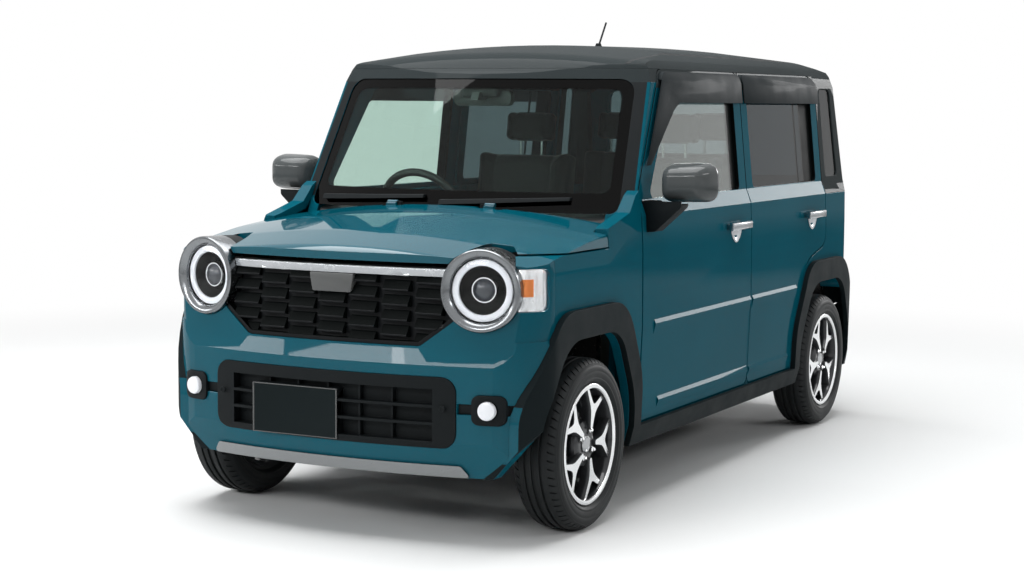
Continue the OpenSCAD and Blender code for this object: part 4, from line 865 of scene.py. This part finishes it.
def grilleStrip(c, n):  # the bright bar between the lamps
    low, high = grilleSpec["strip"]
    return low < c.z < high and c.y < grilleSpec["stripY"] and abs(n.x) < 0.7


def noseStrip(c, n):  # body colour under the front bumper
    inside = c.y < cladSpec["noseY"] and abs(c.x) < cladSpec["noseX"]
    return inside and n.y < -0.5 and c.z > cladSpec["strip"][0]


def sillStrip(c, n):
    (low, high), (front, rear) = cladSpec["strip"], cladSpec["stripY"]
    return low < c.z < high and front < c.y < rear


skinFrom("grilles-skin", ["grilles"], [glossBlack, stripChrome, louvrePaintedHighlight, trimPlastic],
         parts=[(3, lambda c, n: c.z < grilleSpec["lowerTop"]), (2, louvreFront), (1, grilleStrip)])
skinFrom("side-cladding-skin", ["side_cladding"], [cladPlastic, skidMetal, tealFront],
         cuts=levels(cladSpec["strip"][0]), parts=[(2, noseStrip), (1, sillStrip)])
skinFrom("rear-bumper-skin", ["rear_bumper"], [cladPlastic])
skinFrom("fixed-glass-pane", ["fixed_glass"], [screenGlass, darkGlass], edge=0, parts=[(1, lambda c, n: c.y > 0.8)])
skinFrom("tail-lamps-skin", ["tail_lamps"], [redLens, clearLens, amberLens], edge=0.003,
         cuts=levels(*lampBands),
         parts=[(1, lambda c, n: c.z < lampBands[0]), (2, lambda c, n: lampBands[0] < c.z < lampBands[1])])
for node, mat in (("cowl", trimPlastic), ("skid_strip", skidMetal), ("tailgate_glass", darkGlass),
                  ("dashboard", cabinPlastic), ("interior_mirror", cabinPlastic),
                  ("aerial", trimPlastic), ("engine", castMetal), ("front_subframe", darkSteel),
                  ("rear_axle", darkSteel), ("fuel_tank", trimPlastic), ("exhaust", castMetal),
                  ("floor_pan", darkSteel), ("steering_wheel", cabinPlastic), ("knuckle_left", darkSteel),
                  ("knuckle_right", darkSteel)):
    skinFrom(node.replace("_", "-") + "-skin", [node], [mat], edge=0 if "glass" in node else shellSpec["edge"])
print("trim dressed")

# head lamps: turned pieces about each lamp's own axis
lampSpec = {"place": (0.53, -1.6055, 0.83), "yaw": 12, "radius": 0.1338, "depth": (-0.16, 0.03), "steps": 96,
            "amberZ": (0.812, 0.868), "amberX": (0.612, 0.678), "fogTop": 0.6}
lampLoops = [  # name, finish, radius and height pairs
    ("bezel", bezelChrome,
     [(0.1200, -0.0600), (0.1325, -0.0600), (0.1330, 0.0100), (0.1322, 0.0165), (0.1295, 0.0198), (0.1255, 0.0203),
      (0.1180, 0.0185), (0.1115, 0.0145), (0.1060, 0.0085), (0.1042, 0.0060), (0.1036, 0.0040), (0.1036, -0.0200)]),
    ("groove", glossBlack,
     [(0.1034, -0.0200), (0.1034, -0.0045), (0.1008, -0.0045), (0.1008, -0.0200)]),
    ("guide", guideWhite,
     [(0.1006, -0.0200), (0.1006, -0.0090), (0.0988, -0.0066), (0.0900, -0.0056), (0.0806, -0.0066), (0.0785, -0.0092),
      (0.0780, -0.0200)]),
    ("bowl", glossBlack,
     [(0.0800, -0.0520), (0.0778, -0.0200), (0.0778, -0.0130), (0.0740, -0.0180), (0.0660, -0.0320), (0.0520, -0.0420),
      (0.0440, -0.0440), (0.0425, -0.0520)]),
    ("shroud", chromeMetal,
     [(0.0428, -0.0520), (0.0432, -0.0300), (0.0408, -0.0260), (0.0372, -0.0262), (0.0356, -0.0310),
      (0.0356, -0.0520)]),
    ("projector", projectorGlass,
     [(0.0, -0.0340), (0.0350, -0.0340), (0.0350, -0.0290), (0.0302, -0.0232), (0.0222, -0.0176), (0.0120, -0.0138),
      (0.0, -0.0126)]),
    ("bucket", trimPlastic,
     [(0.0, -0.1280), (0.1180, -0.1280), (0.1310, -0.1150), (0.1322, -0.0602), (0.0800, -0.0525), (0.0, -0.0525)])]
lensLoop = [(0.0, 0.0130), (0.0300, 0.0122), (0.0600, 0.0089), (0.0850, 0.0042), (0.1004, -0.0004), (0.1004, -0.0040),
            (0.0850, 0.0006), (0.0600, 0.0055), (0.0300, 0.0090), (0.0, 0.0098)]


def atLamp(sign):
    x, y, z = lampSpec["place"]
    return (Matrix.Translation((sign * x, y, z)) @ Matrix.Rotation(math.radians(sign * lampSpec["yaw"]), 4, "Z")
            @ Matrix.Rotation(math.pi / 2, 4, "X"))


def nearLampAxis(f):
    c = f.calc_center_median()
    p = atLamp(1 if c.x > 0 else -1).inverted() @ c
    return math.hypot(p.x, p.y) < lampSpec["radius"] and lampSpec["depth"][0] < p.z < lampSpec["depth"][1]


def amberPatch(c, n):
    (low, high), (near, far) = lampSpec["amberZ"], lampSpec["amberX"]
    return low < c.z < high and near < abs(c.x) < far and abs(n.z) < 0.5


def isFog(c, n):
    return c.z < lampSpec["fogTop"]


def makeLamps(spec):
    shell = shellOf("front-lamp-boxes", ["front_lamps"])
    dropFaces(shell, nearLampAxis)
    for place, normal in levels(*spec["amberZ"]):
        sliceAt(shell, place, normal)
    for sign in (1, -1):
        for x in spec["amberX"]:
            sliceAt(shell, (sign * x, 0, 0), (1, 0, 0))
    roundEdges(shell, 0.0012)
    dress(shell, chromeMetal, trimPlastic, amberLens)
    finishBy(shell, 1, isFog)
    finishBy(shell, 2, amberPatch)
    smooth(shell, 30)
    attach(shell, "body")
    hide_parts("front_lamps")
    turned = []
    for name, finish, loop in lampLoops:
        part = spun("lamp-" + name, loop, spec["steps"])
        dress(part, finish)
        turned.append(part)
    lamp = joined("headLamp", turned)
    smooth(lamp, 30)
    dome = spun("lampDome", lensLoop, spec["steps"])
    dress(dome, clearLens)
    smooth(dome, 40)
    lens = shellOf("front-lamp-covers", ["front_lamp_lenses"])
    dropFaces(lens, nearLampAxis)
    dress(lens, clearLens, guideWhite)
    finishBy(lens, 1, isFog)
    smooth(lens, 38)
    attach(lens, "body")
    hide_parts("front_lamp_lenses")
    for sign, side in ((1, "left"), (-1, "right")):
        for master, label in ((lamp, "head-lamp"), (dome, "head-lamp-dome")):
            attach(twinOf(master, f"{label}-{side}", atLamp(sign)), "body")
    dropMasters(lamp, dome)


makeLamps(lampSpec)
print("lamps fitted")

# door mirrors
mirrorSpec = {"centre": (0.828, -0.632, 1.141), "size": (0.208, 0.130, 0.138), "corner": 0.050,
              "narrow": 0.22, "lower": 0.32, "tilt": 0.006, "crown": 0.010, "sweep": 0.022, "glass": (0.80, 0.70)}


def roundedBlock(name, size, corner, segments=4):
    obj = unitCube(name)
    obj.scale = size
    settle(obj)
    openEdit(obj)
    bpy.ops.mesh.bevel(offset=corner, segments=segments, profile=0.6, affect="EDGES", clamp_overlap=True)
    closeEdit()
    return obj


def makeMirror(spec):
    wide, deep, tall = spec["size"]
    head = roundedBlock("mirrorHead", spec["size"], spec["corner"], 6)
    pickFaces(head, lambda f: f.normal.y > 0.99)
    bpy.ops.mesh.inset(thickness=0.004, depth=0)
    closeEdit()
    for v in head.data.vertices:
        front = max(0.0, 0.5 - v.co.y / deep)
        v.co.x *= 1 - spec["narrow"] * front * front
        v.co.z = v.co.z * (1 - spec["lower"] * front * front) + spec["tilt"] * v.co.x / wide
        v.co.z += spec["crown"] * (1 - (2 * v.co.x / wide) ** 2) * (1 if v.co.z > 0 else 0.3)
        v.co.y += spec["sweep"] * (2 * v.co.x / wide) ** 2 * min(front, 1)
    m = head.modifiers.new("soft", "SUBSURF")
    m.levels = m.render_levels = 2
    applyAll(head)
    dress(head, capPaint, trimPlastic)
    finishBy(head, 1, lambda c, n: n.y > 0.80 or c.z < -0.058)
    across, up = spec["glass"]
    glass = roundedBlock("mirrorGlass", (wide * across, 0.006, tall * up), 0.0028, 2)
    moved(glass, Matrix.Translation((0, deep / 2 + 0.0005, 0.002)))
    dress(glass, chromeMetal)
    return joined("mirrorMaster", [head, glass])


mirrorMaster = makeMirror(mirrorSpec)
smooth(mirrorMaster, 45)
for sign, side in ((1, "left"), (-1, "right")):
    x, y, z = mirrorSpec["centre"]
    at = Matrix.Translation((sign * x, y, z)) @ Matrix.Diagonal((sign, 1, 1, 1))
    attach(twinOf(mirrorMaster, f"door-mirror-{side}", at), f"front_{side}_door")
dropMasters(mirrorMaster)

# chrome handle cups below the bars
cupSpec = {"front": 0.1625, "rear": 1.0925, "z": 0.9355, "skin": 0.7130, "proud": 0.003, "depth": 0.006}
cupOutline = [(-0.058, 0.006), (-0.052, 0.012), (0.052, 0.012), (0.058, 0.006), (0.053, -0.016), (0.038, -0.036),
              (0.016, -0.050), (0.0, -0.054), (-0.016, -0.050), (-0.038, -0.036), (-0.053, -0.016)]


def makeCup(spec):
    cup = plate("handleCup", cupOutline, spec["depth"])
    sinkTop(cup, (0.008, 0.0), (0.012, -0.0045))
    roundEdges(cup, 0.0012, 2, 20)
    dress(cup, stripChrome)
    smooth(cup, 30)
    return cup


cupMaster = makeCup(cupSpec)
for end in ("front", "rear"):
    for sign, side in ((1, "left"), (-1, "right")):
        turn = Matrix(((0, 0, sign, sign * (cupSpec["skin"] + cupSpec["proud"])), (1, 0, 0, cupSpec[end]),
                       (0, 1, 0, cupSpec["z"]), (0, 0, 0, 1)))
        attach(twinOf(cupMaster, f"handle-cup-{end}-{side}", turn), f"{end}_{side}_door")
dropMasters(cupMaster)
print("door fittings made")

# seats: pads swollen by cloth pressure on plain bases
seatSpec = {"voxel": 0.007, "wideVoxel": 0.008, "pressure": 4.0, "frames": 20, "cap": 0.014, "seam": 0.006,
            "seamDepth": 0.005, "front": [(0.330, 0.1505, 0.660), (-0.330, 0.1505, 0.660)],
            "rear": [(0, 0.8675, 0.660)], "lean": -9, "frontHeads": (0,), "rearHeads": (-0.23, 0.23), "postX": (-0.05, 0.05), "postY": 0.288,
            "frontBase": (0.40, 0.37, 0.172), "rearBase": (0.764, 0.37, 0.172), "basePlace": (0, -0.015, -0.204)}
padRows = {  # size, place from the seat's origin, side bolster, lengthwise seams, cross seams
    "frontCushion": ((0.450, 0.385, 0.110), (0, -0.050, -0.055), 0.016, 0.135, (-0.10, 0.06)),
    "frontBack": ((0.450, 0.095, 0.540), (0, 0.225, 0.285), 0.022, 0.135, (-0.12, 0.04)),
    "rearCushion": ((0.795, 0.385, 0.110), (0, -0.050, -0.055), 0.008, 0.285, (-0.06,)),
    "rearBack": ((0.795, 0.095, 0.540), (0, 0.225, 0.285), 0.010, 0.285, (-0.06,)),
    "headrest": ((0.215, 0.066, 0.118), (0, 0.288, 0.660), 0.004, 0.070, ())}


def fabricFinish(name, warp, weft, size):
    mat, t, s = newFinish(name, Roughness=0.9, Specular_IOR_Level=0.15, Sheen_Weight=0.25, Sheen_Roughness=0.4)
    w = useGroup(t, weaveGroup, Warp=warp, Weft=weft, Size=size)
    wire(t, w, "Colour", s, "Base Color")
    bumpFrom(t, w.outputs["Height"], s, 0.1, 0.0004)
    return mat


seatFabric = fabricFinish("seatFabric", rgb(0.024, 0.027, 0.028), rgb(0.036, 0.039, 0.040), 180)
seatEdge = fabricFinish("seatEdgeFabric", rgb(0.012, 0.014, 0.015), rgb(0.022, 0.024, 0.025), 260)


def swell(obj, spec):
    rest = [v.co.copy() for v in obj.data.vertices]
    m = obj.modifiers.new("fill", "CLOTH")
    m.settings.use_pressure, m.settings.uniform_pressure_force = True, spec["pressure"]
    m.settings.effector_weights.gravity, m.settings.quality = 0.0, 4
    m.point_cache.frame_start, m.point_cache.frame_end = 1, spec["frames"]
    for f in range(1, spec["frames"] + 1):
        scene.frame_set(f)
    blown = [v.co.copy() for v in obj.evaluated_get(bpy.context.evaluated_depsgraph_get()).data.vertices]
    obj.modifiers.remove(m)
    scene.frame_set(1)
    for v, a, b in zip(obj.data.vertices, rest, blown):
        step = b - a
        v.co = a + step * min(1.0, spec["cap"] / max(step.length, 1e-9))
    obj.data.update()


def makePad(name, spec):
    size, place, bolster, alongSeam, crossSeams = padRows[name]
    pad = roundedBlock(name, size, min(size) * 0.36, 4)
    flat = "Cushion" in name
    m = pad.modifiers.new("voxels", "REMESH")
    m.mode, m.voxel_size = "VOXEL", spec["voxel" if size[0] < 0.5 else "wideVoxel"]
    applyAll(pad)
    for v in pad.data.vertices:
        out = min(1.0, max(0.0, (abs(v.co.x) / size[0] - 0.28) / 0.16))
        lift = bolster * out * out * (3 - 2 * out)
        if flat and v.co.z > 0:
            v.co.z += lift
        elif not flat and v.co.y < 0:
            v.co.y -= lift
    swell(pad, spec)
    for v in pad.data.vertices:
        run = v.co.y if flat else v.co.z
        gaps = [abs(abs(v.co.x) - alongSeam)]
        if abs(v.co.x) < alongSeam:
            gaps += [abs(run - c) for c in crossSeams]
        near = min(gaps) / spec["seam"]
        if near < 3:
            v.co -= v.normal * spec["seamDepth"] * math.exp(-near * near)
    dress(pad, seatFabric, seatEdge)
    finishBy(pad, 1, lambda c, n: abs(c.x) > alongSeam or (n.z < -0.3 if flat else n.y > 0.3))
    smooth(pad, 60)
    turn = Matrix.Identity(4) if flat else Matrix.Rotation(math.radians(spec["lean"]), 4, "X")
    return moved(pad, Matrix.Translation(place) @ turn)


def placeSeats(spec):
    pads = {n: makePad(n, spec) for n in padRows}
    bases, fitted = [], 0
    post = spun("headrestPost", [(0, 0.535), (0.006, 0.535), (0.006, 0.612), (0, 0.612)], 16)
    dress(post, satinMetal)
    for end in ("front", "rear"):
        for k, origin in enumerate(spec[end]):
            at = Matrix.Translation(origin)
            rows = [(end + "Cushion", 0), (end + "Back", 0)] + [("headrest", x) for x in spec[end + "Heads"]]
            for part, x in rows:
                piece = twinOf(pads[part], f"seat-{end}-{k}-{part}-{fitted}", at @ Matrix.Translation((x, 0, 0)))
                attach(piece, "body")
                if fitted == 0:
                    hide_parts("seats")
                fitted += 1
                if part == "headrest":
                    bases += [twinOf(post, "post", at @ Matrix.Translation((x + d, spec["postY"], 0)))
                              for d in spec["postX"]]
            base = roundedBlock("seatBase", spec[end + "Base"], 0.012, 3)
            dress(base, cabinPlastic)
            bases.append(moved(base, at @ Matrix.Translation(spec["basePlace"])))
    dropMasters(*pads.values(), post)
    frames = joined("seat-bases", bases)
    smooth(frames, 40)
    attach(frames, "body")
    print("seat pads:", fitted)


placeSeats(seatSpec)

# small pieces on the nose
noseSpec = {"panelY": -1.6575, "panelDepth": 0.030, "plateY": -1.6995, "plateX": -0.118, "plateZ": 0.410,
            "plateSize": (0.330, 0.165), "plateDepth": 0.003, "plateRim": 0.482,
            "screw": (0.424, -1.672, 0.452), "fog": (0.568, -1.643, 0.452), "fogYaw": 10}
panelOutline = [(-0.084, 0.867), (0.084, 0.867), (0.082, 0.850), (0.074, 0.808), (0.070, 0.805), (-0.070, 0.805),
                (-0.074, 0.808), (-0.082, 0.850)]
faceForward = Matrix(((1, 0, 0, 0), (0, 0, -1, 0), (0, 1, 0, 0), (0, 0, 0, 1)))
sensorGrey = plasticFinish("sensorCover", rgb(0.075, 0.078, 0.078), size=500, strength=0.05, dust=0.02,
                           Specular_IOR_Level=0.3, Coat_Weight=0.3, Coat_Roughness=0.15)
plateDark = plasticFinish("blankPlate", rgb(0.006, 0.010, 0.011), size=500, strength=0.03, dust=0.01,
                          Specular_IOR_Level=0.06)


def makeNoseParts(spec):
    panel = plate("sensor-panel", panelOutline, spec["panelDepth"])
    roundEdges(panel, 0.003, 3, 30)
    dress(panel, sensorGrey)
    moved(panel, Matrix.Translation((0, spec["panelY"], 0)) @ faceForward)
    wide, tall = spec["plateSize"]
    corners = [(-wide / 2, -tall / 2), (wide / 2, -tall / 2), (wide / 2, tall / 2), (-wide / 2, tall / 2)]
    blank = plate("number-plate-blank", corners, spec["plateDepth"])
    sinkTop(blank, (0.0035, 0), (0.0012, -0.0012))
    roundEdges(blank, 0.0006, 2, 30)
    dress(blank, plateDark, sensorGrey)
    finishBy(blank, 1, lambda c, n: max(abs(c.x) / wide, abs(c.y) / tall) > spec["plateRim"])
    moved(blank, Matrix.Translation((spec["plateX"], spec["plateY"], spec["plateZ"])) @ faceForward)
    screw = spun("screw", [(0, -0.004), (0.0105, -0.004), (0.0105, 0.0), (0.0092, 0.0016), (0.0060, 0.0018),
                           (0.0052, 0.0004), (0, 0.0002)], 24)
    dress(screw, trimPlastic)
    x, y, z = spec["screw"]
    screws = [twinOf(screw, f"intake-screw{k}", Matrix.Translation((k * x, y, z)) @ faceForward) for k in (-1, 1)]
    fog = spun("fogLens", [(0, -0.016), (0.0295, -0.016), (0.0300, -0.002), (0.0275, 0.0030),
                           (0.0180, 0.0062), (0, 0.0075)], 48)
    dress(fog, guideWhite)
    x, y, z = spec["fog"]
    fogs = [twinOf(fog, f"fogLens{k}", Matrix.Translation((k * x, y, z))
                   @ Matrix.Rotation(math.radians(k * spec["fogYaw"]), 4, "Z") @ Matrix.Rotation(math.pi / 2, 4, "X"))
            for k in (-1, 1)]
    dropMasters(screw, fog)
    for piece in (panel, blank, joined("intake-screws", screws), joined("fog-lenses", fogs)):
        smooth(piece, 30)
        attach(piece, "body")


makeNoseParts(noseSpec)
print("nose parts made")

# tail pieces, and the pod behind the windscreen
tailSpec = {"bar": (0.46, 0.050, 1.6705, 0.925), "carrier": (0.360, 0.195, 1.6720, 0.800),
            "blank": (0.330, 0.165, 1.6755, 0.800), "stop": (0.26, 0.022, 1.5990, 1.545),
            "reflector": (0.090, 0.028, 1.6815, 0.535), "reflectorX": 0.50,
            "boss": (0.0, 1.652, 1.068), "armEnd": (-0.19, 1.655, 1.122),
            "blade": ((-0.370, 1.6495, 1.118), (-0.010, 1.6495, 1.126)),
            "valanceX": 0.48, "valanceY": 1.6725, "valanceFall": 0.105,
            "pod": (0.150, 0.050, 0.052), "podZ": 1.466, "podBack": 0.052}  # plates: width, height, y, z
faceBack = Matrix(((-1, 0, 0, 0), (0, 0, 1, 0), (0, 1, 0, 0), (0, 0, 0, 1)))
cornerOutline = [(0.405, 0.262), (0.420, 0.238), (0.575, 0.238), (0.575, 0.505), (0.470, 0.505), (0.405, 0.420)]


def backPlate(name, row, depth, finish, x=0.0, inset=0.0):
    wide, tall, y, z = row
    c, a, b = min(wide, tall) * 0.16, wide / 2, tall / 2
    outline = [(c - a, -b), (a - c, -b), (a, c - b), (a, b - c), (a - c, b), (c - a, b), (-a, b - c), (-a, c - b)]
    obj = plate(name, outline, depth)
    if inset:
        sinkTop(obj, (inset, 0), (inset * 0.4, -inset * 0.4))
    roundEdges(obj, 0.0012, 2, 40)
    dress(obj, finish)
    return moved(obj, Matrix.Translation((x, y, z)) @ faceBack)


def barBetween(name, a, b, deep, tall, finish):  # slim bar, thinner towards its end
    obj = unitCube(name)
    for v in obj.data.vertices:
        end = Vector(a) if v.co.x > 0 else Vector(b)
        k = 1.0 if v.co.x > 0 else 0.7
        v.co = end + Vector((0, v.co.y * deep * k, v.co.z * tall * k))
    openEdit(obj)
    bpy.ops.mesh.normals_make_consistent(inside=False)
    closeEdit()
    roundEdges(obj, 0.0018, 2, 30)
    dress(obj, finish)
    return obj


def makeTail(spec):
    gate = nodeBody["tailgate"]
    bar = backPlate("tailgate-handle-bar", spec["bar"], 0.018, trimPlastic, inset=0.006)
    carrier = backPlate("rear-plate-carrier", spec["carrier"], 0.016, trimPlastic, inset=0.008)
    blank = backPlate("rear-plate-blank", spec["blank"], 0.005, plateDark, inset=0.003)
    stop = backPlate("high-stop-lamp", spec["stop"], 0.016, redLens)
    boss = spun("wiperBoss", [(0, -0.006), (0.021, -0.006), (0.021, 0.008), (0.018, 0.014),
                              (0.010, 0.016), (0, 0.016)], 32)
    dress(boss, trimPlastic)
    moved(boss, Matrix.Translation(spec["boss"]) @ faceBack)
    top = Vector(spec["boss"]) + Vector((0, 0.011, 0))
    arm = barBetween("wiperArm", top, spec["armEnd"], 0.008, 0.020, trimPlastic)
    blade = barBetween("wiperBlade", *spec["blade"], 0.012, 0.011, trimPlastic)
    for piece in (bar, carrier, blank, stop, joined("rear-wiper", [boss, arm, blade])):
        smooth(piece, 30)
        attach(piece, gate)
    marks = [backPlate(f"rear-reflector{k}", spec["reflector"], 0.012, redLens, k * spec["reflectorX"])
             for k in (-1, 1)]
    corner = plate("valanceCorner", cornerOutline, 0.012)
    roundEdges(corner, 0.002, 2, 30)
    dress(corner, cladPlastic)
    moved(corner, faceBack)
    for v in corner.data.vertices:
        v.co.y += spec["valanceY"] - spec["valanceFall"] * (abs(v.co.x) - spec["valanceX"])
    other = twinOf(corner, "valanceCornerRight", Matrix.Diagonal((-1, 1, 1, 1)))
    screenY = bpy.data.objects["fixed-glass-pane"].ray_cast((0, -3, spec["podZ"]), (0, 1, 0))[1].y
    pod = roundedBlock("camera-pod", spec["pod"], 0.012, 3)
    dress(pod, cabinPlastic)
    moved(pod, Matrix.Translation((0, screenY + spec["podBack"], spec["podZ"])))
    for piece in (joined("rear-reflectors", marks), joined("rear-valance-corners", [corner, other]), pod):
        smooth(piece, 30)
        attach(piece, "body")


makeTail(tailSpec)
print("tail pieces made")
